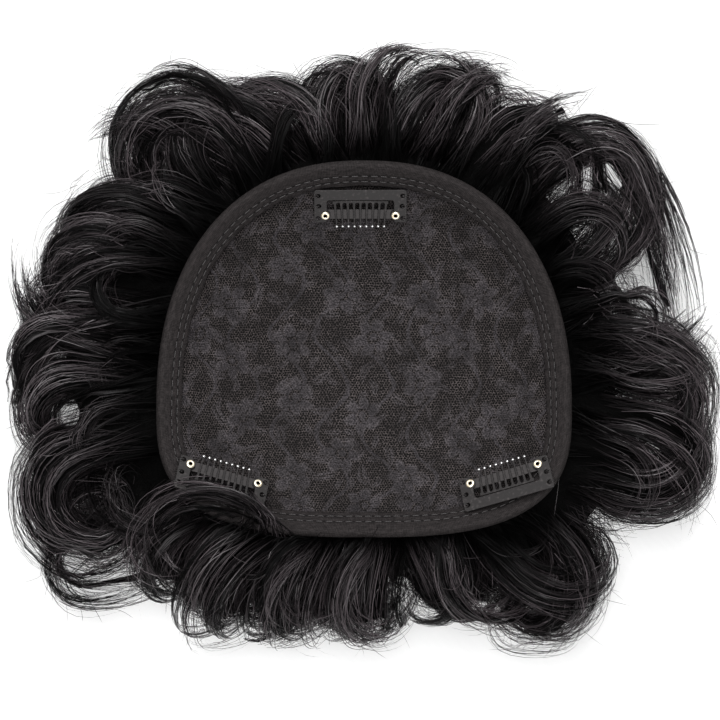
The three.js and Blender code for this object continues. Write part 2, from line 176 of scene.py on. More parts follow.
CAMERA_HEIGHT = 0.8
CAMERA_OVER = (-1.4 * MM, -3.8 * MM)
FOCAL_LENGTH = 110.35  # on a 36 mm sensor
FLOOR_SIZE = 6.0
WEAVE_PITCH = 1.1 * MM

paper = Finish("table_white", base_color=grey(0.62), roughness=0.85, emission_color=grey(1),
               emission_strength=0.42)
weave = paper.node("ShaderNodeTexWave", {"wave_type": "BANDS", "bands_direction": "DIAGONAL"},
                   {"Vector": paper.place(), "Scale": 1 / (WEAVE_PITCH * 6), "Distortion": 3.0})
paper.set(normal=paper.bump(weave + paper.noise(paper.place(), 900), 0.05 * MM, 0.3))

bpy.ops.mesh.primitive_plane_add(size=FLOOR_SIZE)
table = bpy.context.object
table.name = "table"
table.data.materials.append(paper.material)


def soft_light(name, place, size, power):
    """A square softbox that faces the topper."""
    data = bpy.data.lights.new(name, "AREA")
    data.size = size
    data.energy = power
    lamp = added(name, data)
    lamp.location = place
    lamp.rotation_euler = (-Vector(place)).to_track_quat("-Z", "Y").to_euler()


soft_light("softbox_key", (-0.2, 0.4, 1.5), 1.0, 20)
soft_light("softbox_front", (0.15, -0.95, 1.1), 0.6, 10)
soft_light("softbox_back", (0.1, 1.05, 1.0), 0.6, 12)
world = bpy.data.worlds.new("studio")
world.use_nodes = True
background = world.node_tree.nodes["Background"].inputs
background["Color"].default_value = grey(1)
background["Strength"].default_value = 0.12
bpy.context.scene.world = world
bpy.context.scene.view_settings.view_transform = "Standard"

camera_data = bpy.data.cameras.new("camera")
camera_data.lens = FOCAL_LENGTH
camera = added("camera", camera_data)
camera.location = (*CAMERA_OVER, CAMERA_HEIGHT)
bpy.context.scene.camera = camera


# Lace cap
# A shallow bowl of black lace: flowers, leaves and scrolls worked over a hexagon net.
# The hair is tied into it from below, and its edge is sewn into a ribbon.
cap_low, cap_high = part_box("lace_cap")
CAP_WIDTH = cap_high[0] - cap_low[0]
CAP_LENGTH = cap_high[1] - cap_low[1]
CAP_HEIGHT = cap_low[2]
CAP_DEPTH = 24 * MM
FRONT_LENGTH = 41.9 * MM  # from the widest line of the cap to its front edge
BACK_ROUNDNESS = 2.3
FRONT_ROUNDNESS = 2.9
EDGE_BEND = math.radians(44)
LACE_WALL = 1 * MM
NET_THICKNESS = 0.4 * MM
NET_PITCH = 1.05  # millimetres of cloth, as in every value of a lay
NET_THREAD = 0.24  # as a share of the pitch
NET_RIPPLE = 0.12 * MM
GAP = 0.3 * MM
RIM_HEIGHT = CAP_HEIGHT + CAP_DEPTH
ANGLE_STEP = 0.01  # for slopes of the bowl


def outline_radius(angle):
    """Radius of the cap's outline from its middle, found by halving."""
    widest = FRONT_LENGTH - CAP_LENGTH / 2
    low = np.zeros_like(angle)
    high = np.full_like(angle, CAP_WIDTH)
    for _ in range(40):
        middle = (low + high) / 2
        across = np.abs(middle * np.cos(angle)) / (CAP_WIDTH / 2)
        along = middle * np.sin(angle) - widest
        reach = np.where(along > 0, CAP_LENGTH - FRONT_LENGTH, FRONT_LENGTH)
        roundness = np.where(along > 0, BACK_ROUNDNESS, FRONT_ROUNDNESS)
        outside = across ** roundness + (np.abs(along) / reach) ** roundness > 1
        high = np.where(outside, middle, high)
        low = np.where(outside, low, middle)
    return low


compass = np.linspace(0, TURN, 721)
compass_radii = outline_radius(compass)


def rim_radius(angle):
    return np.interp(np.mod(angle, TURN), compass, compass_radii)


def lying(angle, radius, height):
    """Points at a height, given by their angle and radius on plan."""
    return np.stack([radius * np.cos(angle), radius * np.sin(angle), height], -1)


def lace_height(bend):
    return CAP_HEIGHT + CAP_DEPTH * (1 - np.cos(bend)) / (1 - math.cos(EDGE_BEND))


def bowl_point(angle, bend):
    """A point on the underside of the lace: bend is 0 in the middle and EDGE_BEND at the edge."""
    return lying(angle, rim_radius(angle) * np.sin(bend) / math.sin(EDGE_BEND), lace_height(bend))


def unit(vectors):
    return vectors / (np.linalg.norm(vectors, axis=-1, keepdims=True) + 1e-12)


def shell_point(angle, bend, offset):
    """A point that lies offset above the underside of the lace."""
    beside = np.maximum(bend, 2 * ANGLE_STEP)
    along = bowl_point(angle, beside + ANGLE_STEP) - bowl_point(angle, beside - ANGLE_STEP)
    around = bowl_point(angle + ANGLE_STEP, beside) - bowl_point(angle - ANGLE_STEP, beside)
    normal = np.where((bend < ANGLE_STEP)[..., None], (0, 0, 1), unit(np.cross(along, around)))
    return bowl_point(angle, bend) + normal * np.asarray(offset)[..., None]


def edge_point(angle, inward, offset):
    """A point given by its distance inward from the edge, along the lace, and its height off the lace."""
    edge = np.full_like(angle, EDGE_BEND)
    stride = bowl_point(angle, edge) - bowl_point(angle, edge - ANGLE_STEP)
    per_bend = np.linalg.norm(stride, axis=-1) / ANGLE_STEP
    return shell_point(angle, EDGE_BEND - inward / per_bend, offset)


def shaped_grid(name, around, along, place, lay):
    """A grid bent into shape. place and lay take u and v from 0 to 1: place gives points and lay
    millimetres of cloth."""
    bm = bmesh.new()
    bmesh.ops.create_grid(bm, x_segments=around, y_segments=along, size=0.5)
    u, v = (np.array([vert.co[i] for vert in bm.verts]) + 0.5 for i in (0, 1))
    flat = np.stack(lay(u, v), -1)
    uv = bm.loops.layers.uv.new("lay")
    bm.verts.index_update()
    for face in bm.faces:
        face.smooth = True
        for loop in face.loops:
            loop[uv].uv = flat[loop.vert.index]
    for vert, point in zip(bm.verts, place(u, v)):
        vert.co = point
    bmesh.ops.remove_doubles(bm, verts=bm.verts, dist=0.001 * MM)
    bmesh.ops.dissolve_degenerate(bm, edges=bm.edges, dist=0.001 * MM)
    bmesh.ops.recalc_face_normals(bm, faces=bm.faces)
    mesh = bpy.data.meshes.new(name)
    bm.to_mesh(mesh)
    bm.free()
    return added(name, mesh)


def finished(piece, finish, slot, *replaced, body="root"):
    """Gives a piece its material and its body, and hides the parts that it replaces. The slot is not used."""
    piece.data.materials.append(finish.material)
    if replaced:
        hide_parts(*replaced)
    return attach(piece, body)


def modified(piece, kind, **settings):
    modifier = piece.modifiers.new(kind.lower(), kind)
    for name, value in settings.items():
        setattr(modifier, name, value)


def lace_place(u, v):
    angle = u * TURN
    bend = v * EDGE_BEND
    ripple = NET_RIPPLE * np.sin(5 * angle + 7 * v) * np.sin(9 * v) * np.sin(math.pi * v)
    return shell_point(angle, bend, LACE_WALL / 2 + ripple)


def lace_lay(u, v):
    slant = 1.16  # length along the bowl against the plan
    radius = rim_radius(u * TURN) * v * slant / MM
    return radius * np.cos(u * TURN), radius * np.sin(u * TURN)


def flat_parts(finish, vector):
    x = finish.node("ShaderNodeSeparateXYZ", {}, {"Vector": vector}, "X")
    return x, x.output("Y")


def hexagon_net(finish, vector, pitch, thread):
    """1 on the threads of a hexagon net and 0 in its holes."""
    x, y = flat_parts(finish, vector)
    x = x / pitch
    y = y / pitch
    tall = math.sqrt(3)
    first = [x % 1 - 0.5, y % tall - tall / 2]
    second = [(x - 0.5) % 1 - 0.5, (y - tall / 2) % tall - tall / 2]
    nearer = (first[0] * first[0] + first[1] * first[1]).math(
        "LESS_THAN", second[0] * second[0] + second[1] * second[1])
    across, along = (abs(a * nearer + b * (1 - nearer)) for a, b in zip(first, second))
    from_middle = across.math("MAXIMUM", across * 0.5 + along * (tall / 2))
    return from_middle.smooth(0.5 - thread, 0.5 - thread * 0.45)


def motif_cells(finish, vector, size, shift):
    """Scattered places: a point's position from the nearest one, and a random number for it."""
    moved = finish.vector_math("ADD", vector, shift)
    centre = finish.node("ShaderNodeTexVoronoi", {"voronoi_dimensions": "2D"},
                         {"Vector": moved, "Scale": 1 / size, "Randomness": 0.7}, "Position")
    local = finish.vector_math("SUBTRACT", moved, centre)
    chance = finish.node("ShaderNodeSeparateColor", {}, {"Color": centre.output("Color")}, "Red")
    return local, chance


def flower(finish, vector, size, petals):
    """Outline height of scattered flowers: above 0 inside, in shares of the petal length."""
    local, chance = motif_cells(finish, vector, size, (7.3, 2.1, 0))
    x, y = flat_parts(finish, local)
    radius = (x * x + y * y).math("SQRT") / (size * 0.36)
    angle = y.math("ARCTAN2", x) * petals + chance * TURN
    lobes = abs((angle * 0.5).math("COSINE"))
    rim = lobes * 0.42 + 0.62 - radius
    slits = lobes.smooth(0.05, 0.22).math("MAXIMUM", radius.math("LESS_THAN", 0.3))
    eye = abs(radius - 0.24).smooth(0.03, 0.09)
    return rim, slits * eye


def leaf(finish, vector, size, shift):
    """Outline height of scattered pointed leaves, each turned at random, and their veins."""
    local, chance = motif_cells(finish, vector, size, shift)
    turned = finish.node("ShaderNodeVectorRotate", {"rotation_type": "Z_AXIS"},
                         {"Vector": local, "Angle": chance * TURN})
    x, y = flat_parts(finish, turned)
    x = x / (size * 0.46)
    y = y / (size * 0.46)
    bowed = y + x * x * 0.35 - 0.12
    rim = 0.36 - x * x * 0.38 - abs(bowed)
    ribs = abs((x * 5 + abs(bowed) * 6) % 1 - 0.5)
    veins = abs(bowed).smooth(0.02, 0.06) * ribs.smooth(0.03, 0.12)
    return rim, veins


def shaken(finish, vector, scale, reach):
    """The vector, shifted to and fro by up to half of reach."""
    wander = finish.noise(vector, scale).output("Color")
    sway = finish.node("ShaderNodeVectorMath", {"operation": "SCALE"}, {0: wander, "Scale": reach})
    return finish.vector_math("ADD", vector, sway)


lace = Finish("lace", specular_ior_level=0.15)
flat = lace.lay()
swayed = shaken(lace, flat, 0.06, 7.0)
net = hexagon_net(lace, shaken(lace, flat, 0.35, 1.5), NET_PITCH, NET_THREAD)
work = None
raised = None
shapes = [flower(lace, swayed, 23, 6), leaf(lace, swayed, 14, (3.0, 11.0, 0)),
          leaf(lace, swayed, 9, (21.0, 5.0, 0))]
for rim, slits in shapes:
    inside = rim.smooth(0, 0.25) * slits
    cord = inside * (1 - rim.smooth(0.2, 0.34))
    work = inside if work is None else work.math("MAXIMUM", inside)
    raised = cord if raised is None else raised.math("MAXIMUM", cord)
across, along = flat_parts(lace, swayed)
scroll = abs((across + (along / 6).math("SINE") * 6) % 17 - 8.5).smooth(1.1, 0.5)
work = work.math("MAXIMUM", scroll)
yarn = lace.noise(flat, 1.3, 4.0, 0.8)
filling = (along * 1.15 + across * 0.4).wave(0.75)
tone = lace.noise(flat, 0.09, 4.0, 0.6).smooth(0.3, 0.7)
open_net = (1 - net) * (1 - work * 0.6)
thread_colour = lace.mix(yarn.smooth(0.4, 0.64), grey(0.004, 0.2), grey(0.09, 0.18, -0.02))
work_colour = lace.mix(yarn.smooth(0.4, 0.62) * 0.75 + filling * 0.25,
                       grey(0.001, 0.1), grey(0.088, 0.13, 0.08))
cloth = lace.mix(work, thread_colour, work_colour)
cloth = lace.mix(raised * yarn.smooth(0.35, 0.6) * 0.5, cloth, grey(0.11, 0.13, 0.04))
cloth = lace.mix(open_net, cloth, grey(0.0005, 0.1))
cloth = lace.mix(tone * 0.6, cloth, grey(0.004, 0.2))
lace.set(base_color=cloth, roughness=0.85 - work * 0.1,
         normal=lace.bump((1 - open_net) * 0.7 + yarn * 0.3 + work * filling * 0.2, 0.22 * MM, 0.7))

cap = shaped_grid("lace_bowl", 120, 36, lace_place, lace_lay)
modified(cap, "SOLIDIFY", thickness=NET_THICKNESS, offset=0)
finished(cap, lace, "lace", "lace_cap")


# Edge binding
# A ribbed ribbon folded over the edge of the lace, 7.6 mm wide inside and 6 mm outside.
# Two rows of running stitches through all layers hold it.
BINDING_INSIDE = 7.6 * MM
BINDING_OUTSIDE = 6 * MM
BINDING_WALL = 0.9 * MM
BINDING_FOLD = 0.4 * MM
BINDING_CORNER = 0.22 * MM
BINDING_WAVERS = ((0.16 * MM, 23, 0), (0.12 * MM, 41, 1))  # height, waves round the cap, phase
RIB_PITCH = 0.55
WEFT_PITCH = 0.34
STITCH_ROWS = (3.2 * MM, 5.5 * MM)  # inward from the edge
BINDING_TOP = LACE_WALL + GAP + BINDING_WALL
binding_bottom = binding_edge = -GAP - BINDING_WALL
outline = [
    (binding_edge, binding_bottom), (BINDING_OUTSIDE, binding_bottom), (BINDING_OUTSIDE, -GAP), (-GAP, -GAP),
    (-GAP, LACE_WALL + GAP), (BINDING_INSIDE, LACE_WALL + GAP), (BINDING_INSIDE, BINDING_TOP),
    (binding_edge, BINDING_TOP), (binding_edge - BINDING_FOLD, (BINDING_TOP + binding_bottom) / 2),
]
corners = []
for before, corner, after in zip(outline[-1:] + outline[:-1], outline, outline[1:] + outline[:1]):
    for other in (before, after):
        away = Vector(other) - Vector(corner)
        share = min(BINDING_CORNER / away.length, 0.4)
        corners.append(tuple(Vector(corner) + away * share))
corners.append(corners[0])
corners = np.array(corners)


def run_lengths(points):
    """The length of a line up to each of its points."""
    return np.concatenate([[0], np.cumsum(np.linalg.norm(np.diff(points, axis=0), axis=1))])


corner_steps = run_lengths(corners)
compass_steps = run_lengths(bowl_point(compass, np.full_like(compass, EDGE_BEND)))


def binding_section(v):
    """Where the ribbon's section is at a share of its corners: inward, offset, millimetres round it."""
    place = v * (len(corners) - 1)
    every = np.arange(len(corners))
    return tuple(np.interp(place, every, values) for values in (*corners.T, corner_steps / MM))


def binding_place(u, v):
    inward, offset, _ = binding_section(v)
    angle = u * TURN
    waver = sum(height * np.sin(waves * angle + phase) for height, waves, phase in BINDING_WAVERS)
    inward = inward + waver * (inward > BINDING_INSIDE / 2)
    return edge_point(angle, inward, offset)


def binding_lay(u, v):
    return np.interp(u * TURN, compass, compass_steps) / MM, binding_section(v)[2]


ribbon = Finish("ribbon", specular_ior_level=0.12)
along, across = flat_parts(ribbon, ribbon.lay())
ribs = (along + across * 0.12).wave(RIB_PITCH)
weft = across.wave(WEFT_PITCH)
worn = ribbon.noise(ribbon.lay(), 0.7, 4.0)
drawn = ribbon.noise(ribbon.mapping(ribbon.lay(), (0.3, 2.2, 1.0)), 1.0, 3.0, 0.6)
top_corner = 2 * outline.index((BINDING_INSIDE, BINDING_TOP)) + 1
top_start = corner_steps[top_corner] + corners[top_corner][0]
pucker_creases_and_shade = sum(abs(across - (top_start - inward) / MM).smooth(0.55, 0.1) for inward in STITCH_ROWS)
grain = ribbon.noise(ribbon.lay(), 2.4, 3.0, 0.7)
body = ribbon.mix(ribs * 0.35 + grain.smooth(0.38, 0.62) * 0.35 + drawn.smooth(0.4, 0.6) * 0.3,
                  grey(0.001, 0.1), grey(0.043, 0.16))
body = ribbon.mix(weft * 0.15, body, grey(0.03, 0.14))
# Painted shade: the ribbon's colour is darkened along the stitch rows, in the creases of the puckers, which
# are also bumped in.
body = ribbon.mix(pucker_creases_and_shade * 0.7, body, grey(0.003, 0.1))
ribbon.set(base_color=ribbon.mix(worn.smooth(0.35, 0.7) * 0.5, body, grey(0.007, 0.12)),
           roughness=0.72 + worn * 0.16,
           normal=ribbon.bump(ribs * 0.4 + weft * 0.2 + drawn * 0.6 - pucker_creases_and_shade * 0.8, 0.22 * MM, 0.8))

binding = shaped_grid("ribbon_binding", 320, len(corners) - 1, binding_place, binding_lay)
modified(binding, "SUBSURF", levels=1, render_levels=1)
finished(binding, ribbon, "ribbon", "edge_binding")


# Stitches
# Two rows of running stitches in black polyester thread, sewn through the ribbon and the lace.
# Each stitch comes up out of the ribbon and goes down into it again.
STITCH_PITCH = 3.5 * MM
STITCH_LENGTH = 2.7 * MM
STITCH_SWAY = 0.1 * MM
THREAD = 0.17 * MM  # radius
LAY_SHIFT = 97.0  # between one flat strand's pattern and the next, in millimetres


def tube_mesh(name, paths, radii, upright, sides, shades=None, roll=None):
    """Joins many tubes in one mesh. paths is (tubes, stations, 3), and one radius, upright or shade may
    serve a tube or all of them. Two sides make flat ribbons, each turned by its roll, whose UV map holds
    millimetres across and along."""
    count, stations, _ = paths.shape
    radii = np.broadcast_to(radii, (count, stations))
    ahead = unit(np.gradient(paths, axis=1))
    first = unit(np.cross(ahead, upright))
    second = np.cross(ahead, first)
    if roll is not None:
        first = first * np.cos(roll)[:, None, None] + second * np.sin(roll)[:, None, None]
    turns = np.arange(sides) * TURN / sides
    ring = first[:, :, None] * np.cos(turns)[:, None] + second[:, :, None] * np.sin(turns)[:, None]
    points = paths[:, :, None] + ring * radii[:, :, None, None]
    number = np.arange(count * stations * sides).reshape(count, stations, sides)
    near = number[:, :-1]
    far = number[:, 1:]
    walls = np.stack([near, np.roll(near, -1, 2), np.roll(far, -1, 2), far], -1)
    ends = np.stack([number[:, 0, ::-1], number[:, -1]], 1)
    if sides == 2:
        walls = walls[:, :, :1]
        ends = ends[:0]
    wall_count = walls.size // 4
    sizes = np.concatenate([np.full(wall_count, 4), np.full(ends.size // sides, sides)])
    mesh = bpy.data.meshes.new(name)
    mesh.vertices.add(points.size // 3)
    mesh.vertices.foreach_set("co", points.astype(np.float32).ravel())
    corners = np.concatenate([walls.reshape(-1), ends.reshape(-1)])
    mesh.loops.add(len(corners))
    mesh.loops.foreach_set("vertex_index", corners.astype(np.int32))
    mesh.polygons.add(len(sizes))
    mesh.polygons.foreach_set("loop_start", (np.cumsum(sizes) - sizes).astype(np.int32))
    mesh.polygons.foreach_set("use_smooth", np.ones(len(sizes), bool))
    mesh.update(calc_edges=True)
    if sides == 2:
        steps = np.linalg.norm(np.diff(paths, axis=1), axis=-1)
        along = np.concatenate([np.zeros((count, 1)), np.cumsum(steps, 1)], 1) / MM
        along = along + LAY_SHIFT * np.arange(count)[:, None]
        half = np.broadcast_to(radii.mean() / MM, along[:, 1:].shape)
        across_ways = np.stack([half, -half, -half, half], -1)
        along_ways = np.stack([along[:, :-1], along[:, :-1], along[:, 1:], along[:, 1:]], -1)
        flat = np.stack([across_ways, along_ways], -1)
        mesh.uv_layers.new(name="lay").data.foreach_set("uv", flat.astype(np.float32).ravel())
    if shades is not None:
        layer = mesh.attributes.new("shade", "FLOAT", "POINT")
        every = np.broadcast_to(shades[..., None], (count, stations, sides))
        layer.data.foreach_set("value", every.astype(np.float32).ravel())
    return added(name, mesh)


def stitch_row(inward):
    length = compass_steps[-1]
    count = round(length / STITCH_PITCH)
    starts = np.arange(count) * length / count
    shares = np.array([0, 0.12, 0.35, 0.65, 0.88, 1])
    rises = np.array([-0.25, 0.05, 0.16, 0.16, 0.05, -0.25]) * MM
    steps = starts[:, None] + shares * STITCH_LENGTH
    angles = np.interp(np.mod(steps, length), compass_steps, compass)
    sideways = STITCH_SWAY * np.sin(starts * 900)[:, None] * (shares - 0.5)
    return edge_point(angles, inward + sideways, BINDING_TOP + rises + 0 * angles)


thread = Finish("sewing_thread", roughness=0.6)
twist = thread.node("ShaderNodeTexWave", {"bands_direction": "DIAGONAL"},
                    {"Vector": thread.place(), "Scale": 900.0, "Distortion": 1.0})
thread.set(base_color=thread.mix(twist, grey(0.012, 0.1), grey(0.06, 0.1)),
           normal=thread.bump(twist, 0.05 * MM, 0.6))
stitches = np.concatenate([stitch_row(inward) for inward in STITCH_ROWS])
finished(tube_mesh("binding_stitches", stitches, THREAD, (0, 0, 1), 6), thread, "ribbon")


# Hair
# Natural black hair, tied into the lace from below. It lies crushed under the cap as a bed and
# comes out all round in curled locks, with loose strands and flyaway hairs round them.
HAIR_SPREAD = 48 * MM
LOCK_WIDTH = 20 * MM
LOCK_THICKNESS = 16 * MM
ROOT_INSET = 8 * MM
LOCK_COLUMNS = ("name", "at", "lean", "rise", "height", "run", "turn1", "radius1", "turn2", "radius2",
                "tilt", "width", "thickness")
LOCK_ROWS = [
    ("big_swirl", 119, 7, 10, 0.51, 0.74, 160, 0.36, 230, 0.23, 16, 1.1, 1.08),
    ("back_a", 107, 18, 14, 0.51, 0.58, 120, 0.4, 120, 0.25, 26, 0.9, 0.92),
    ("back_b", 98, 12, 20, 0.47, 0.5, -150, 0.25, -120, 0.17, 35, 1, 0.92),
    ("back_c", 89, -3, 16, 0.47, 0.54, 140, 0.25, 140, 0.17, 30, 0.9, 1),
    ("back_hook", 81, -4, 16, 0.51, 0.6, -170, 0.21, -110, 0.15, 40, 0.8, 0.83),
    ("back_d", 69, -12, 18, 0.47, 0.62, 150, 0.27, 120, 0.19, 50, 1, 1.08),
    ("back_e", 59, -1, 16, 0.47, 0.64, -140, 0.29, -150, 0.21, 35, 1, 1.08),
    ("right_long", 45, -1, 8, 0.47, 0.78, -105, 0.3, -20, 3.4, 8, 0.6, 0.7),
    ("right_loop", 50, -1, 14, 0.6, 0.72, -120, 0.2, -90, 0.42, 14, 0.65, 0.7),
    ("right_tuft", 49, 8, 14, 0.68, 0.72, -20, 0.62, -20, 0.62, 20, 0.6, 0.67),
    ("right_a", 14, 28, 12, 0.56, 0.31, -100, 0.24, -60, 0.62, 12, 0.8, 0.83),
    ("right_b", 6, -14, 10, 0.47, 0.98, -120, 0.21, -90, 0.19, 20, 0.8, 0.92),
    ("right_c", -6, 12, 10, 0.47, 0.84, -100, 0.31, -60, 0.83, 14, 0.9, 0.92),
    ("right_d", -18, 14, 12, 0.47, 0.82, -120, 0.31, -100, 0.25, 25, 0.9, 1),
    ("right_e", -31, 4, 12, 0.47, 0.68, 120, 0.37, 150, 0.25, 25, 1.1, 1.08),
    ("right_f", -45, 0, 12, 0.47, 0.6, -130, 0.37, -140, 0.25, 30, 1.1, 1.08),
    ("right_g", -58, 4, 16, 0.47, 0.58, 130, 0.37, 140, 0.25, 35, 1.1, 1.08),
    ("front_roll_a", -70, -6, 30, 0.51, 0.17, 150, 0.34, 90, 0.25, 72, 1.3, 1),
    ("front_roll_b", -87, -24, 32, 0.51, 0.27, 150, 0.39, 90, 0.25, 70, 1.6, 1),
    ("front_roll_c", -103, -30, 32, 0.56, 0.3, 150, 0.4, 90, 0.27, 64, 1.6, 1.08),
    ("front_roll_d", -116, -42, 34, 0.6, 0.33, 140, 0.42, 90, 0.27, 50, 1.6, 1.08),
    ("front_roll_e", -129, -38, 24, 0.56, 0.42, 130, 0.33, 90, 0.25, 40, 1, 0.92),
    ("long_hook", -138, -22, 2, 0.33, 1.13, 150, 0.21, 40, 1.1, 4, 0.7, 0.62),
    ("ring_curl", -156, -18, 10, 0.6, 0.73, 180, 0.39, 240, 0.25, 12, 1, 1.17),
    ("left_a", -171, -8, 10, 0.51, 0.88, 110, 0.27, 140, 0.21, 20, 0.9, 1),
    ("left_b", 178, -4, 12, 0.51, 0.93, 190, 0.23, 120, 0.17, 22, 0.9, 1),
    ("left_c", 168, -4, 12, 0.51, 0.87, 190, 0.23, 120, 0.17, 25, 0.9, 1),
    ("left_d", 157, -4, 12, 0.51, 0.79, 150, 0.27, 130, 0.19, 28, 1, 1),
    ("left_e", 146, -2, 12, 0.51, 0.66, 130, 0.33, 140, 0.23, 28, 1.1, 1),
    ("left_f", 134, -2, 14, 0.51, 0.56, -120, 0.29, -130, 0.21, 28, 0.9, 1),
    ("high_a", 124, -8, 4, 0.72, 0.58, 140, 0.23, 110, 0.17, 24, 0.8, 0.75),
    ("high_b", 84, -6, 4, 0.72, 0.46, 130, 0.21, 110, 0.16, 26, 0.8, 0.75),
    ("high_c", 30, 16, 6, 0.72, 0.5, -110, 0.25, -60, 0.4, 20, 0.8, 0.75),
    ("high_d", -24, 8, 6, 0.72, 0.58, -120, 0.25, -90, 0.19, 22, 0.9, 0.75),
    ("high_e", -65, 0, 10, 0.72, 0.37, -130, 0.27, -110, 0.19, 40, 1, 0.75),
    ("high_f", -166, -10, 6, 0.72, 0.55, 130, 0.25, 110, 0.17, 22, 0.9, 0.75),
    ("high_g", 152, -6, 6, 0.72, 0.52, 130, 0.23, 120, 0.17, 24, 0.8, 0.75),
    ("high_h", 138, 4, 6, 0.72, 0.48, 120, 0.29, 110, 0.21, 24, 0.9, 0.75),
]
# Locks of loose hair that start outside the binding and lap over it and the left clip's bar
LAP_ROWS = [
    ("lap_outer", -112, -125, 6, 1.16, 0.05, 100, 0.61, 130, 0.36, 18, 0.5, 0.5),
    ("lap_middle", -115, -122, 4, 1.15, 0.05, 110, 0.5, 120, 0.3, 20, 0.5, 0.55),
    ("lap_inner", -121, -112, 4, 1.04, 0.05, 170, 0.32, 90, 0.24, 24, 0.5, 0.5),
]
# Looser hair over the locks: long sweeps, tufts and the satin outsides of the front rolls
SWEEP_ROWS = [
    ("back_arc", 99, 6, 10, 0.6, 0.44, 110, 0.4, 60, 0.4, 18, 1.1, 0.9),
    ("back_tuft_a", 118, 4, 12, 0.6, 0.84, 40, 0.5, -60, 0.4, 20, 0.5, 0.5),
    ("back_tuft_b", 129, 6, 8, 0.6, 0.86, 50, 0.5, 40, 0.4, 14, 0.6, 0.5),
    ("back_tuft_c", 88, 4, 16, 0.6, 0.64, -60, 0.4, 60, 0.3, 20, 0.8, 0.7),
    ("back_tuft_d", 72, -2, 14, 0.6, 0.66, -50, 0.4, -50, 0.3, 20, 0.9, 0.7),
    ("right_between_a", 22, 2, 8, 0.56, 0.34, 56, 0.74, -90, 0.22, 14, 0.9, 0.7),
    ("right_between_b", 15, 9, 6, 0.5, 0.5, 62, 0.7, -60, 0.4, 14, 0.8, 0.7),
    ("right_outer", 45, -1, 8, 0.5, 0.84, -104, 0.3, -26, 2.8, 8, 0.9, 0.9),
    ("right_sweep_a", 9, -10, 6, 0.64, 0.62, -36, 0.8, -20, 0.9, 10, 0.9, 0.6),
    ("right_sweep_b", -10, 24, 6, 0.64, 0.66, 26, 0.9, 14, 0.8, 10, 1, 0.6),
    ("right_sweep_c", -22, 10, 6, 0.64, 0.6, -40, 0.7, -40, 0.5, 12, 1, 0.6),
    ("right_sweep_d", 3, -25, 4, 0.56, 0.66, 30, 0.7, 50, 0.4, 12, 1.3, 0.7),
    ("left_sweep_a", 166, 18, 4, 0.66, 0.74, 44, 0.7, 30, 0.8, 12, 1.1, 0.6),
    ("left_sweep_b", 150, 24, 4, 0.66, 0.66, 56, 0.6, 40, 0.6, 12, 1.1, 0.6),
    ("left_sweep_c", -176, -16, 4, 0.66, 0.7, -46, 0.7, -30, 0.6, 12, 1.1, 0.6),
    ("ring_middle", -156, -22, 6, 0.5, 0.72, 190, 0.26, 260, 0.12, 10, 0.7, 0.9),
    ("front_sheen_a", -82, -58, 8, 0.84, 0.3, 130, 0.42, 80, 0.3, 38, 1.5, 0.6),
    ("front_sheen_b", -101, -52, 8, 0.84, 0.3, 130, 0.4, 80, 0.3, 38, 1.5, 0.6),
    ("front_sheen_c", -117, -46, 8, 0.84, 0.34, 120, 0.42, 80, 0.3, 34, 1.5, 0.6),
    ("front_sheen_d", -64, -30, 8, 0.84, 0.36, 120, 0.4, 80, 0.3, 34, 1.2, 0.6),
]
LOCKS = [dict(zip(LOCK_COLUMNS, row)) for row in LOCK_ROWS + LAP_ROWS + SWEEP_ROWS]
STRANDS = 13000  # in all locks together
RIBBONS = 2600
FRIZZ = 6000
FRIZZ_CARRIERS = 900
STRAND_RADIUS = 0.105 * MM  # half the width of a flat strand
RIBBON_RADIUS = 1.1 * MM  # half the width of a flat wisp of fine hair
FRIZZ_RADIUS = 0.07 * MM
STRAND_STATIONS = 21
FRIZZ_STATIONS = 7
FAN = 9.5 * MM  # half the stretch of rim that a lock's roots are spread over
CLUMP = 13  # strands that keep together
LOOSE_CURLS = 18
# Painted shade: strands are coloured darker near the rim, out to these distances from it, for the shade that
# the rim casts on them.
PAINTED_RIM_SHADE = {"front": 13 * MM, "back": 20 * MM, "big": 24 * MM}  # in the shade of the rim; 40 elsewhere
LAP_START = 3 * MM  # outside the edge of the lace
LAP_CLIMB = 22 * MM
# Gaps between the curls, where the table shows: x, y and radius in millimetres
PARTINGS = ((-102, -75, 5.5), (-102, -22.6, 5), (87.5, 61, 5), (91, 23, 4.5), (-125, -10, 4))
REACH = np.array([(-0.119, -0.102), (0.12, 0.1)])  # beyond which strands are drawn in
REACH_OVER = 14 * MM  # the furthest that they still get past it
HIGHEST = 50 * MM
HIGHEST_OVER = 9 * MM
ROOF = 4.4 * MM  # of lapping strands above the rim
CEILING = 2.2 * MM  # of strands below the lace
RIM_CLEARANCE = 2.6 * MM
chance = np.random.default_rng(41)


def soft_step(value, low, high):
    share = np.clip((value - low) / (high - low), 0, 1)
    return share * share * (3 - 2 * share)


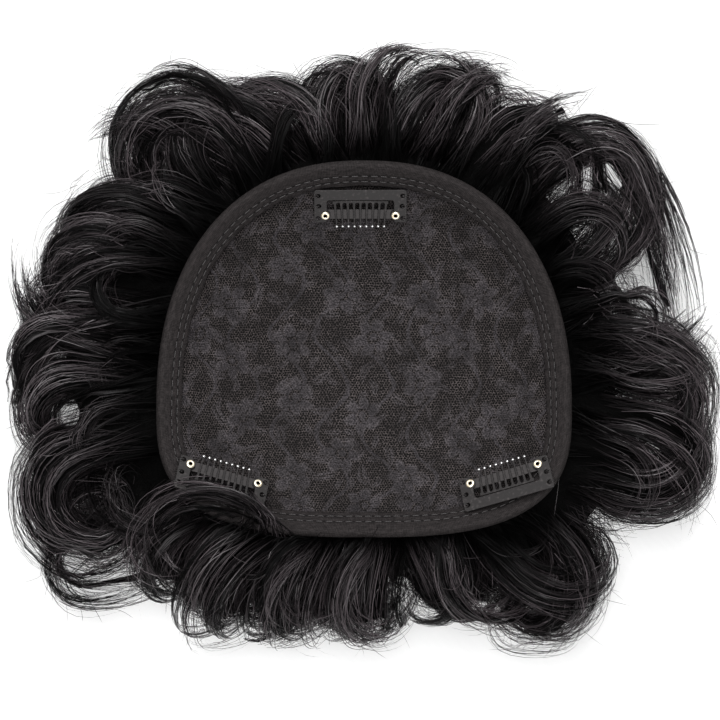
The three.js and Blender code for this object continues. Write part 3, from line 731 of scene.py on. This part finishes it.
def lock_paths(lock, count, loose):
    """The strands of one lock: a run out of the cap, then two arcs, each strand with a lie of its own.
    Gives the paths, the normals of the curls, the shares of the length and the roll of a flat wisp."""
    clumps = max(3, round(count / CLUMP))
    clump = chance.integers(0, clumps, count)

    def varied(spread):
        """A deviation that a clump shares, and half as much of each strand."""
        shared = chance.normal(0, spread * loose, clumps)[clump]
        return shared + chance.normal(0, spread * 0.5 * loose, count)

    turn = chance.uniform(0, TURN, clumps)
    reach = chance.uniform(0.15, 1, clumps) ** 0.4
    high = (reach * np.cos(turn))[clump] + chance.normal(0, 0.14, count)
    wide = (reach * np.sin(turn))[clump] + chance.normal(0, 0.14, count)
    heading = np.radians(lock["at"] + lock["lean"] + varied(2.6))
    rise = np.radians(lock["rise"] + varied(2.6))
    tilt = np.radians(lock["tilt"] + varied(4))
    sign = np.sign(lock["turn1"])
    ahead = lying(heading, np.cos(rise), np.sin(rise))
    left = np.stack([-np.sin(heading), np.cos(heading), 0 * heading], -1)
    down = np.cross(left, ahead)
    down *= -np.sign(down[:, 2:])
    inward = left * (np.cos(tilt) * sign)[:, None] + down * np.sin(tilt)[:, None]
    across = np.cross(ahead, inward)

    run = lock["run"] * HAIR_SPREAD * (1 + varied(0.035))
    radius1 = lock["radius1"] * HAIR_SPREAD * (1 + varied(0.08))
    radius2 = lock["radius2"] * HAIR_SPREAD * chance.uniform(0.55, 1.1, clumps)[clump] * (1 + varied(0.04))
    turn1 = np.radians(abs(lock["turn1"])) * (1 + varied(0.04))
    turn2 = np.radians(abs(lock["turn2"])) * (1 + varied(0.1))
    end1 = run + turn1 * radius1
    whole = end1 + turn2 * radius2
    length = whole * np.clip(chance.normal(0.92, 0.1, count), 0.5, 1.06)

    even = np.linspace(0, 1, 200)
    way = np.outer(length, even)
    bend = np.where(way < run[:, None], 0, (way - run[:, None]) / radius1[:, None])
    later = turn1[:, None] + (way - end1[:, None]) / radius2[:, None]
    bend = np.where(way > end1[:, None], later, bend)
    pace = 0.4 * even + 0.6 * (bend.mean(0) / bend.mean(0)[-1])
    shares = np.interp(np.linspace(0, 1, STRAND_STATIONS), pace, even)
    middle_bend = np.array([np.interp(shares, even, row) for row in bend])
    ways = np.outer(length, shares)
    bends = (middle_bend[:, 1:] + middle_bend[:, :-1]) / 2
    steps = np.diff(ways, axis=1)
    moves = ahead[:, None] * np.cos(bends)[..., None] + inward[:, None] * np.sin(bends)[..., None]
    moves *= steps[..., None]
    at = math.radians(lock["at"])
    lapping = lock["height"] > 1
    root_radius = rim_radius(at) + (LAP_START if lapping else -ROOT_INSET)
    root = lying(at, root_radius, lock["height"] * RIM_HEIGHT)
    path = np.concatenate([np.zeros((count, 1, 3)), np.cumsum(moves, axis=1)], 1) + root

    share = ways / whole[:, None]
    taper = np.where(share < 0.6, 1, 1 - 0.7 * (np.clip(share - 0.6, 0, 0.5) / 0.4) ** 1.5)
    side = -ahead[:, None] * np.sin(middle_bend)[..., None] + inward[:, None] * np.cos(middle_bend)[..., None]
    width = lock["width"] * LOCK_WIDTH / 2 * high[:, None] * taper
    thickness = lock["thickness"] * LOCK_THICKNESS / 2 * wide[:, None] * taper
    if lapping:
        gathered = soft_step(ways, 0, 26 * MM)
        path[..., 2] -= LAP_CLIMB * (1 - soft_step(ways, 0, 9 * MM))
    else:
        gathered = soft_step(ways, 0.1 * run[:, None], 1.15 * run[:, None])
    spread = (wide * sign * 0.6 + chance.uniform(-1, 1, count) * 0.55) * FAN
    rim_way = np.array([-math.sin(at), math.cos(at), 0])
    rooted = rim_way * spread[:, None] + np.array([0, 0, 1]) * (high * 3 * MM)[:, None]
    path = path + rooted[:, None] * (1 - gathered)[..., None]
    path += (across[:, None] * width[..., None] + side * thickness[..., None]) * gathered[..., None]
    waves = 0
    for _ in range(2):
        pace = chance.uniform(1.2, 4.5, (count, 1))
        phase = chance.uniform(0, TURN, (2, count, 1))
        size = (np.minimum(chance.exponential(0.4 * loose, count), 1.6 * loose) * MM)[:, None] * share
        waves = waves + across[:, None] * (size * np.sin(TURN * pace * share + phase[0]))[..., None]
        waves = waves + side * (size * np.sin(TURN * pace * share + phase[1]))[..., None]
    roll = np.arctan2(wide, -high) + chance.normal(0, 0.3, count)
    return path + waves, across, share, roll


def on_plan(path):
    """The rim's radius at each point, and the point's own."""
    x, y = path[..., 0], path[..., 1]
    return rim_radius(np.arctan2(y, x)), np.hypot(x, y)


def kept_clear(path, over=True):
    """Keeps strands above the table and out of the lace, the ribbon and the open bowl."""
    rim, reach = on_plan(path)
    bend = np.arcsin(np.clip(reach / rim, 0, 1) * math.sin(EDGE_BEND))
    outer = rim + RIM_CLEARANCE
    ceiling = lace_height(bend) - CEILING
    roof = RIM_HEIGHT + ROOF
    height = path[..., 2]
    lapping = over & (height > roof - 2 * MM) & (reach > rim - 11 * MM)
    beneath = (reach < outer) & ~lapping
    pushed = np.where(beneath & (height > ceiling) & (reach > rim - 5 * MM), outer, reach)
    height = np.where(beneath & (pushed <= reach), np.minimum(height, ceiling), height)
    height = np.where(lapping & (reach < outer), np.maximum(height, roof), height)
    flat = path[..., :2] * (pushed / np.maximum(reach, 1e-6))[..., None]
    for x, y, radius in PARTINGS:
        away = flat - np.array((x, y)) * MM
        distance = np.linalg.norm(away, axis=-1, keepdims=True) + 1e-6
        flat = flat + away * ((distance ** 3 + (radius * MM) ** 3) ** (1 / 3) / distance - 1)
    room = REACH_OVER * chance.uniform(0.35, 1, (len(path), 1, 1))
    for side, limit in zip((-1, 1), REACH):
        over_by = np.maximum((flat - limit) * side, 0)
        flat = flat - side * (over_by - room * (1 - np.exp(-over_by / room)))
    lowest = RIBBON_RADIUS * 1.1 + 0.4 * MM * np.abs(np.sin(reach * 9000))
    over_by = np.maximum(height - HIGHEST, 0)
    height = height - over_by + HIGHEST_OVER * (1 - np.exp(-over_by / HIGHEST_OVER))
    return np.concatenate([flat, np.maximum(height, lowest)[..., None]], -1)


def strand_radii(share, radius=STRAND_RADIUS):
    full = radius * chance.uniform(0.75, 1.2, (len(share), 1))
    return full * (1 - 0.72 * soft_step(np.linspace(0, 1, share.shape[1]), 0.75, 1))


hair = Finish("black_hair", coat_roughness=0.3, specular_ior_level=0.06)
shade = hair.attribute("shade")
hair.set(base_color=hair.mix(shade, grey(0.001, 0.15, 0.06), grey(0.085, 0.2, 0.08)),
         roughness=0.55 - shade * 0.14, coat_weight=shade * 0.8)

wisp = Finish("black_hair_wisps", coat_roughness=0.34, specular_ior_level=0.06)
shade = wisp.attribute("shade")
across, along = flat_parts(wisp, wisp.lay())
lines = wisp.noise(wisp.mapping(wisp.lay(), (2.6, 0.03, 1.0)), 1.0, 3.0, 0.8)
edge = abs(across) / (RIBBON_RADIUS / MM)
streak = lines.smooth(0.5, 0.62)
wisp.set(base_color=wisp.mix(streak * shade, grey(0.0005, 0.15, 0.06), grey(0.05, 0.2, 0.08)),
         roughness=0.6 - streak * 0.15, coat_weight=streak * shade,
         alpha=(lines - edge * edge * 0.2).smooth(0.44, 0.5), normal=wisp.bump(lines, 0.3 * MM, 0.8))

groups = {"back": [], "right": [], "front": [], "left": [], "high": [], "loose": []}
for lock in LOCKS:
    start = lock["name"].split("_")[0]
    groups[{"big": "back", "long": "left", "ring": "left", "lap": "front"}.get(start, start)].append(lock)
for number in range(LOOSE_CURLS):
    row = ("loose", 360 * (number + chance.uniform(-0.4, 0.4)) / LOOSE_CURLS, chance.uniform(-34, 34),
           chance.uniform(2, 14), chance.uniform(0.62, 0.86), chance.uniform(0.3, 0.6),
           chance.choice([-1, 1]) * chance.uniform(60, 150), chance.uniform(0.18, 0.36),
           chance.uniform(40, 160), chance.uniform(0.14, 0.3), chance.uniform(8, 30),
           chance.uniform(0.4, 0.8), chance.uniform(0.3, 0.5))
    groups["loose"].append(dict(zip(LOCK_COLUMNS, row)))


def lock_weight(lock):
    return lock["width"] * lock["thickness"] * (lock["run"] + 1)


every_lock = [lock for members in groups.values() for lock in members]
WEIGHT = sum(lock_weight(lock) for lock in every_lock)


def hair_group(members, total, radius, loose, gloss=1.0):
    """Paths, radii, uprights, shades and rolls for strands of several locks, shared out by their sizes."""
    made = []
    for lock in members:
        count = max(2, round(total * lock_weight(lock) / WEIGHT))
        path, across, share, roll = lock_paths(lock, count, loose)
        path = kept_clear(path)
        rim, reach = on_plan(path)
        rim_shade_to = PAINTED_RIM_SHADE.get(lock["name"].split("_")[0], 40 * MM)
        # Painted shade: lit darkens the strands' colour and coat near the rim; lapping locks are not
        # darkened.
        lit = soft_step(reach - rim, rim_shade_to * 0.15, rim_shade_to) if lock["height"] < 1 else np.ones_like(reach)
        shade = gloss * chance.uniform(0, 1, (count, 1)) ** 1.7 * lit
        made.append((path, strand_radii(share, radius), across[:, None], shade, roll))
    return [np.concatenate(part) for part in zip(*made)]


def hair_piece(name, finish, paths, radii, uprights, shades, rolls=None):
    finished(tube_mesh(name, paths, radii, uprights, 2, shades, rolls), finish, "hair", "hair")


for group, members in groups.items():
    hair_piece(f"hair_locks_{group}", hair, *hair_group(members, STRANDS, STRAND_RADIUS, 1.15))
    hair_piece(f"hair_wisps_{group}", wisp, *hair_group(members, RIBBONS, RIBBON_RADIUS, 0.9, 0.7))


def frizz_paths(paths, count):
    """Short hairs that leave the strands of a lock sideways, more of them towards its tip."""
    strand = chance.integers(0, len(paths), count)
    station = (STRAND_STATIONS - 2) * chance.uniform(0.1, 1, count) ** 0.7
    start = paths[strand, station.astype(int)]
    ahead = unit(paths[strand, station.astype(int) + 1] - start)
    outward = unit(start * (1, 1, 0))
    length = (3 + chance.exponential(3.5, (count, 1, 1)).clip(0, 12)) * MM
    way = np.linspace(0, 1, FRIZZ_STATIONS)[None, :, None] * length
    aim = unit(ahead + outward * chance.uniform(-0.1, 0.7, (count, 1)) + chance.normal(0, 0.3, (count, 3)))
    curve = chance.normal(0, 1, (count, 3)) * 38
    return start[:, None] + aim[:, None] * way + curve[:, None] * way * way


frizz = kept_clear(frizz_paths(hair_group(every_lock, FRIZZ_CARRIERS, 0, 1.0)[0], FRIZZ))
upright = chance.normal(0, 1, (FRIZZ, 1, 3))
shades = chance.uniform(0, 1, (FRIZZ, 1))
hair_piece("hair_frizz", hair, frizz, strand_radii(frizz[..., 0], FRIZZ_RADIUS), upright, shades)

# The bed under the cap and its underside: shares of the rim's radius and of its height, outwards
BED_STRANDS = 2600
BED_SHARES = (0.9, 1.0, 1.26, 1.34, 1.5)
BED_HEIGHTS = (0.5, 0.5, 0.46, 0.4, 0.34)
UNDER_STRANDS = 1800
UNDER_SHARES = (0.05, 0.5, 0.78, 1.14, 1.36, 1.42)
UNDER_HEIGHTS = (0.012, 0.012, 0.016, 0.09, 0.34, 0.5)
BED_STATIONS = 12


def bed_paths(count, shares, heights, lean, lift):
    """Strands combed outwards along the bed of hair, on top or underneath."""
    start = chance.uniform(0, TURN, count)
    length = np.clip(chance.normal(0.85, 0.15, count), 0.45, 1)
    way = np.outer(length, np.linspace(0, 1, BED_STATIONS))
    rows = np.linspace(0, 1, len(shares))
    drift = np.radians(chance.normal(0, lean, (count, 1))) * way
    wave = np.radians(1.2) * np.sin(TURN * chance.uniform(0.6, 1.6, (count, 1)) * way)
    angle = start[:, None] + drift + wave * chance.normal(0, 1, (count, 1))
    share = np.interp(way, rows, shares) + chance.normal(0, 0.02, (count, 1))
    height = np.interp(way, rows, heights) * RIM_HEIGHT + chance.uniform(0, lift, (count, 1))
    path = lying(angle, rim_radius(angle) * share, height)
    upright = np.stack([-np.sin(start), np.cos(start), 0 * start], -1)
    return kept_clear(path, over=False), upright[:, None]


top = bed_paths(BED_STRANDS, BED_SHARES, BED_HEIGHTS, 14, 5 * MM)
under = bed_paths(UNDER_STRANDS, UNDER_SHARES, UNDER_HEIGHTS, 9, 1.2 * MM)
for name, (path, upright) in (("top", top), ("under", under)):
    # Painted shade: bed strands get a shade value of at most 0.36, darker than the locks', for lying under
    # and beside the cap's rim.
    shades = chance.uniform(0, 0.6, (len(path), 1)) ** 2
    roll = math.pi / 2 + chance.normal(0, 0.5, len(path))
    hair_piece(f"hair_bed_{name}", hair, path, strand_radii(path[..., 0]), upright, shades, roll)

# The imported hair inside the locks: the solid of the CAD model, smoothed and thinned, and painted near black
# as shade deep inside the locks
CORE_VOXEL = 2.2 * MM
CORE_INSET = 3.4 * MM
CORE_LOWEST = 0.2 * MM
core = added("hair_core", frame["nodes"]["hair"].data.copy())
modified(core, "WELD", merge_threshold=0.01 * MM)
modified(core, "REMESH", mode="VOXEL", voxel_size=CORE_VOXEL)
modified(core, "DISPLACE", strength=-CORE_INSET, mid_level=0.0)
modified(core, "SMOOTH", iterations=4)
shaped = bpy.data.meshes.new_from_object(core.evaluated_get(bpy.context.evaluated_depsgraph_get()))
core.modifiers.clear()
core.data = shaped
for vert in shaped.vertices:
    vert.co.z = max(vert.co.z, CORE_LOWEST)
shaped.materials.clear()
shaped.polygons.foreach_set("use_smooth", np.ones(len(shaped.polygons), bool))
core_painted_shade = Finish("hair_core_painted_shade", roughness=0.7, specular_ior_level=0.03)
streaks = core_painted_shade.noise(core_painted_shade.mapping(core_painted_shade.place(), (60, 60, 700)), 12.0, 4.0)
# Painted shade: the core's colour stays near black, for the shade inside the locks.
core_painted_shade.set(base_color=core_painted_shade.mix(streaks, grey(0.0005), grey(0.004, 0.05)),
           normal=core_painted_shade.bump(streaks, 1.2 * MM, 0.8))
finished(core, core_painted_shade, "hair", "hair")


# Snap clips
# Stamped and enamelled sheet steel, 32 mm wide: a bar with two arms, a comb of nine teeth with bright
# ball tips and a spring strip, held by two hollow brass rivets and sewn to the lace through six holes.
CLIP_WIDTH = 32 * MM
CLIP_LENGTH = 12.4 * MM
CLIP_SHEET = 0.55 * MM
CLIP_BAR = 3.9 * MM
CLIP_ARM = 4.4 * MM
CLIP_CORNER = 0.9 * MM
SEWING_HOLE = 0.85 * MM  # radius
SEWING_HOLES = ((0.32, 0.18), (0.36, 0.5), (0.3, 0.88))  # shares of the arm's width and of the length
STRIP_LENGTH = 27 * MM
STRIP_WIDTH = 3.6 * MM
STRIP_SHEET = 0.5 * MM
RIVET_AT = (12.15 * MM, 9.7 * MM)
RIVET_LUG = 1.8 * MM  # radius
RIVET_HOLE = 1.25 * MM
TEETH = 9
TOOTH_PITCH = 2.2 * MM
TIP_PITCH = 2.05 * MM
TOOTH_ROOT = 0.85 * MM
TOOTH_TIP = 0.55 * MM
TOOTH_LENGTH = 9.2 * MM
TOOTH_BALL = 0.5 * MM  # radius
COMB_ROOT = 1.2 * MM
COMB_START = CLIP_BAR + GAP
COMB_BASE = COMB_START + COMB_ROOT
HINGE_LINE = COMB_START + COMB_ROOT / 2
PLATE_BOTTOM = STRIP_SHEET + GAP
PLATE_TOP = PLATE_BOTTOM + CLIP_SHEET
TIP_LINE = COMB_BASE + TOOTH_LENGTH - TOOTH_BALL
EDGE_ROUND = 0.12 * MM
# Painted shade: inside this radius the rivet is coloured near black, for the shade in its hole.
RIVET_SHADED_BORE = 0.65 * MM  # radius, up to which its inside is dark
# The section of a rivet, a barrel and a rolled head: radius and height in millimetres
RIVET_SECTION = ((0.62, 0), (0.62, 1.9), (0.7, 1.99), (0.98, 2.05), (1.27, 1.98), (1.46, 1.83), (1.52, 1.7),
                 (1.44, 1.65), (0.95, 1.65), (0.95, 0))
SEWING_THREAD = 0.09 * MM  # radius
SEWING_TURNS = 2  # through each hole


def arc(middle, radius, start, end, steps):
    """Points of an arc between two angles in degrees."""
    turns = np.radians(np.linspace(start, end, steps + 1))
    return [(middle[0] + radius * math.cos(turn), middle[1] + radius * math.sin(turn)) for turn in turns]


def ring(middle, radius):
    return arc(middle, radius, 0, 360, 20)[:-1]


def mirrored(points):
    return [(-x, y) for x, y in reversed(points)]


def stamped(outline, holes, thickness, bottom):
    """A sheet with holes and rounded edges, stamped out of its outline."""
    bm = bmesh.new()
    edges = []
    for loop in (outline, *holes):
        verts = [bm.verts.new((x, y, bottom)) for x, y in loop]
        edges += [bm.edges.new(pair) for pair in zip(verts, verts[1:] + verts[:1])]
    bmesh.ops.triangle_fill(bm, use_beauty=True, edges=edges, normal=(0, 0, 1))
    grown = bmesh.ops.extrude_face_region(bm, geom=bm.faces[:])["geom"]
    lifted = [part for part in grown if isinstance(part, bmesh.types.BMVert)]
    bmesh.ops.translate(bm, verts=lifted, vec=(0, 0, thickness))
    bmesh.ops.recalc_face_normals(bm, faces=bm.faces)
    rims = [edge for edge in bm.edges if len(edge.link_faces) == 2 and edge.calc_face_angle() > 1.2
            and abs((edge.verts[0].co - edge.verts[1].co).z) < 0.01 * MM]
    bmesh.ops.bevel(bm, geom=rims, offset=EDGE_ROUND, segments=2, affect="EDGES", profile=0.5, material=-1)
    return bm


def set_down(name, bm, place):
    """Shapes the mesh into an object, in its place on the topper."""
    for face in bm.faces:
        face.smooth = abs(face.normal.z) < 0.99
    bmesh.ops.transform(bm, matrix=place, verts=bm.verts)
    mesh = bpy.data.meshes.new(name)
    bm.to_mesh(mesh)
    bm.free()
    return added(name, mesh)


def clip_plate():
    half = CLIP_WIDTH / 2
    inner = half - CLIP_ARM
    lug_turn = math.degrees(math.acos((inner - RIVET_AT[0]) / RIVET_LUG))
    right = arc((half - CLIP_CORNER, CLIP_CORNER), CLIP_CORNER, -90, 0, 5)
    right += arc((half - CLIP_CORNER, CLIP_LENGTH - CLIP_CORNER), CLIP_CORNER, 0, 90, 5)
    right += [(inner + 2 * EDGE_ROUND, CLIP_LENGTH)]
    right += arc(RIVET_AT, RIVET_LUG, lug_turn, 360 - lug_turn, 14)
    right += arc((inner - CLIP_CORNER, CLIP_BAR + CLIP_CORNER), CLIP_CORNER, 0, -90, 5)
    holes = [ring((half - CLIP_ARM * from_edge, CLIP_LENGTH * along), SEWING_HOLE)
             for from_edge, along in SEWING_HOLES]
    holes.append(ring(RIVET_AT, RIVET_HOLE))
    return stamped(right + mirrored(right), holes + [mirrored(hole) for hole in holes],
                   CLIP_SHEET, PLATE_BOTTOM)


def clip_strip():
    half = STRIP_LENGTH / 2
    low, high = RIVET_AT[1] - STRIP_WIDTH / 2, RIVET_AT[1] + STRIP_WIDTH / 2
    hole = ring(RIVET_AT, RIVET_HOLE)
    corners = [(-half, low), (half, low), (half, high), (-half, high)]
    return stamped(corners, [hole, mirrored(hole)], STRIP_SHEET, 0)


def clip_comb():
    """The root bar and the teeth, with round notches between the teeth."""
    half = (TEETH - 1) / 2
    end = half * TOOTH_PITCH + TOOTH_ROOT
    points = [(-end, COMB_START), (end, COMB_START), (end, COMB_BASE)]
    for number in np.arange(half, -half - 1, -1):
        root, tip = number * TOOTH_PITCH, number * TIP_PITCH
        points += [(root + TOOTH_ROOT / 2, COMB_BASE), (tip + TOOTH_TIP / 2, TIP_LINE),
                   (tip - TOOTH_TIP / 2, TIP_LINE), (root - TOOTH_ROOT / 2, COMB_BASE)]
        if number > -half:
            middle = (root - TOOTH_PITCH / 2, COMB_BASE)
            points += arc(middle, (TOOTH_PITCH - TOOTH_ROOT) / 2 - 0.05 * MM, 0, -180, 6)
    points.append((-end, COMB_BASE))
    return stamped(points, [], CLIP_SHEET, PLATE_BOTTOM)


def comb_tips():
    bm = bmesh.new()
    for number in range(TEETH):
        across = (number - (TEETH - 1) / 2) * TIP_PITCH
        place = Matrix.Translation((across, TIP_LINE, PLATE_BOTTOM + CLIP_SHEET / 2))
        squash = Matrix.Diagonal((1, 1, 0.8, 1))
        bmesh.ops.create_uvsphere(bm, u_segments=14, v_segments=8, radius=TOOTH_BALL, matrix=place @ squash)
    return bm


def hollow_rivet(side):
    bm = bmesh.new()
    verts = [bm.verts.new((radius * MM, 0, height * MM)) for radius, height in RIVET_SECTION]
    edges = [bm.edges.new(pair) for pair in zip(verts, verts[1:] + verts[:1])]
    bmesh.ops.spin(bm, geom=verts + edges, cent=(0, 0, 0), axis=(0, 0, 1), dvec=(0, 0, 0), angle=TURN,
                   steps=28, use_merge=True, use_duplicate=False)
    bmesh.ops.recalc_face_normals(bm, faces=bm.faces)
    bore_shade = bm.verts.layers.float.new("bore_shade")
    for vert in bm.verts:
        vert[bore_shade] = vert.co.xy.length < RIVET_SHADED_BORE
    bmesh.ops.translate(bm, verts=bm.verts, vec=(side * RIVET_AT[0], RIVET_AT[1], 0))
    return bm


def sewing_threads(place):
    """Turns of thread through each sewing hole and over the outer edge of its arm, down to the lace."""
    half = CLIP_WIDTH / 2
    paths = []
    for side in (-1, 1):
        for from_edge, along in SEWING_HOLES:
            hole = half - CLIP_ARM * from_edge
            for turn in range(SEWING_TURNS):
                slide = (turn - 0.5) * 0.4 * MM + chance.normal(0, 0.15 * MM)
                stations = [
                    (hole - 0.25 * MM, 0.2, PLATE_BOTTOM - 0.3 * MM), (hole + 0.1 * MM, 0.5, PLATE_TOP),
                    (hole + 0.6 * MM, 0.8, PLATE_TOP + 0.2 * MM), (half - 0.2 * MM, 1, PLATE_TOP + 0.2 * MM),
                    (half + 0.2 * MM, 1.1, PLATE_TOP - 0.2 * MM), (half + 0.35 * MM, 1.2, -0.2 * MM)]
                paths.append([place @ Vector((side * x, CLIP_LENGTH * along + share * slide * 2, z))
                              for x, share, z in stations])
    return np.array(paths)


enamel = Finish("clip_enamel", specular_ior_level=0.3)
scuffs = enamel.noise(enamel.place(), 900, 5.0)
enamel.set(base_color=enamel.mix(scuffs.smooth(0.5, 0.8), grey(0.014, 0.15), grey(0.05, 0.15)),
           roughness=0.42 + scuffs * 0.18, normal=enamel.bump(scuffs, 0.03 * MM, 0.5))
spring = Finish("spring_steel", metallic=0.25, specular_ior_level=0.25)
grain = spring.noise(spring.place(), 1600, 3.0)
spring.set(base_color=spring.mix(grain, grey(0.02, 0.1), grey(0.06, 0.1)), roughness=0.42 + grain * 0.15)
tip_steel = Finish("tip_steel", metallic=0.8)
grain = tip_steel.noise(tip_steel.place(), 1400, 2.0)
tip_steel.set(base_color=tip_steel.mix(grain, grey(0.7), grey(0.9)), roughness=0.28 + grain * 0.1)
brass = Finish("rivet_brass", metallic=0.75)
tarnish = brass.noise(brass.place(), 1300, 4.0)
gold = brass.mix(tarnish.smooth(0.45, 0.75), (1, 0.93, 0.76, 1), (0.86, 0.66, 0.4, 1))
# Painted shade: the rivet's bore is coloured near black.
brass.set(base_color=brass.mix(brass.attribute("bore_shade"), gold, (0.02, 0.012, 0.006, 1)),
          roughness=0.3 + tarnish * 0.15)

joints = {joint["name"]: joint for joint in frame["record"]["behaviour"]["joints"]}
mounts = {mount["name"]: mount for mount in frame["record"]["mounts"]}
for clip in ("clip_back", "clip_left", "clip_right"):
    hinge = joints[f"{clip}_snap"]
    x_axis = Vector(hinge["axis"]).normalized()
    z_axis = Vector(mounts[f"{clip}_grip"]["axis"]).normalized()
    y_axis = z_axis.cross(x_axis)
    origin = Vector(hinge["pos_m"]) - y_axis * HINGE_LINE - z_axis * (PLATE_BOTTOM + CLIP_SHEET / 2)
    place = Matrix.Translation(origin) @ Matrix((x_axis, y_axis, z_axis)).transposed().to_4x4()
    comb = f"{clip}_comb"
    finished(set_down(f"{clip}_bar_and_arms", clip_plate(), place), enamel, "clip_enamel", f"{clip}_plate")
    finished(set_down(f"{clip}_spring", clip_strip(), place), spring, "clip_enamel", f"{clip}_strip")
    finished(set_down(comb, clip_comb(), place), enamel, "clip_enamel", f"{clip}_teeth", body=comb)
    finished(set_down(f"{clip}_tips", comb_tips(), place), tip_steel, "clip_enamel", body=comb)
    for side, word in ((-1, "left"), (1, "right")):
        rivet = set_down(f"{clip}_hollow_rivet_{word}", hollow_rivet(side), place)
        finished(rivet, brass, "rivet_brass", f"{clip}_rivet_{word}")
    sewn = tube_mesh(f"{clip}_sewing", sewing_threads(place), SEWING_THREAD, z_axis, 6)
    finished(sewn, thread, "ribbon")
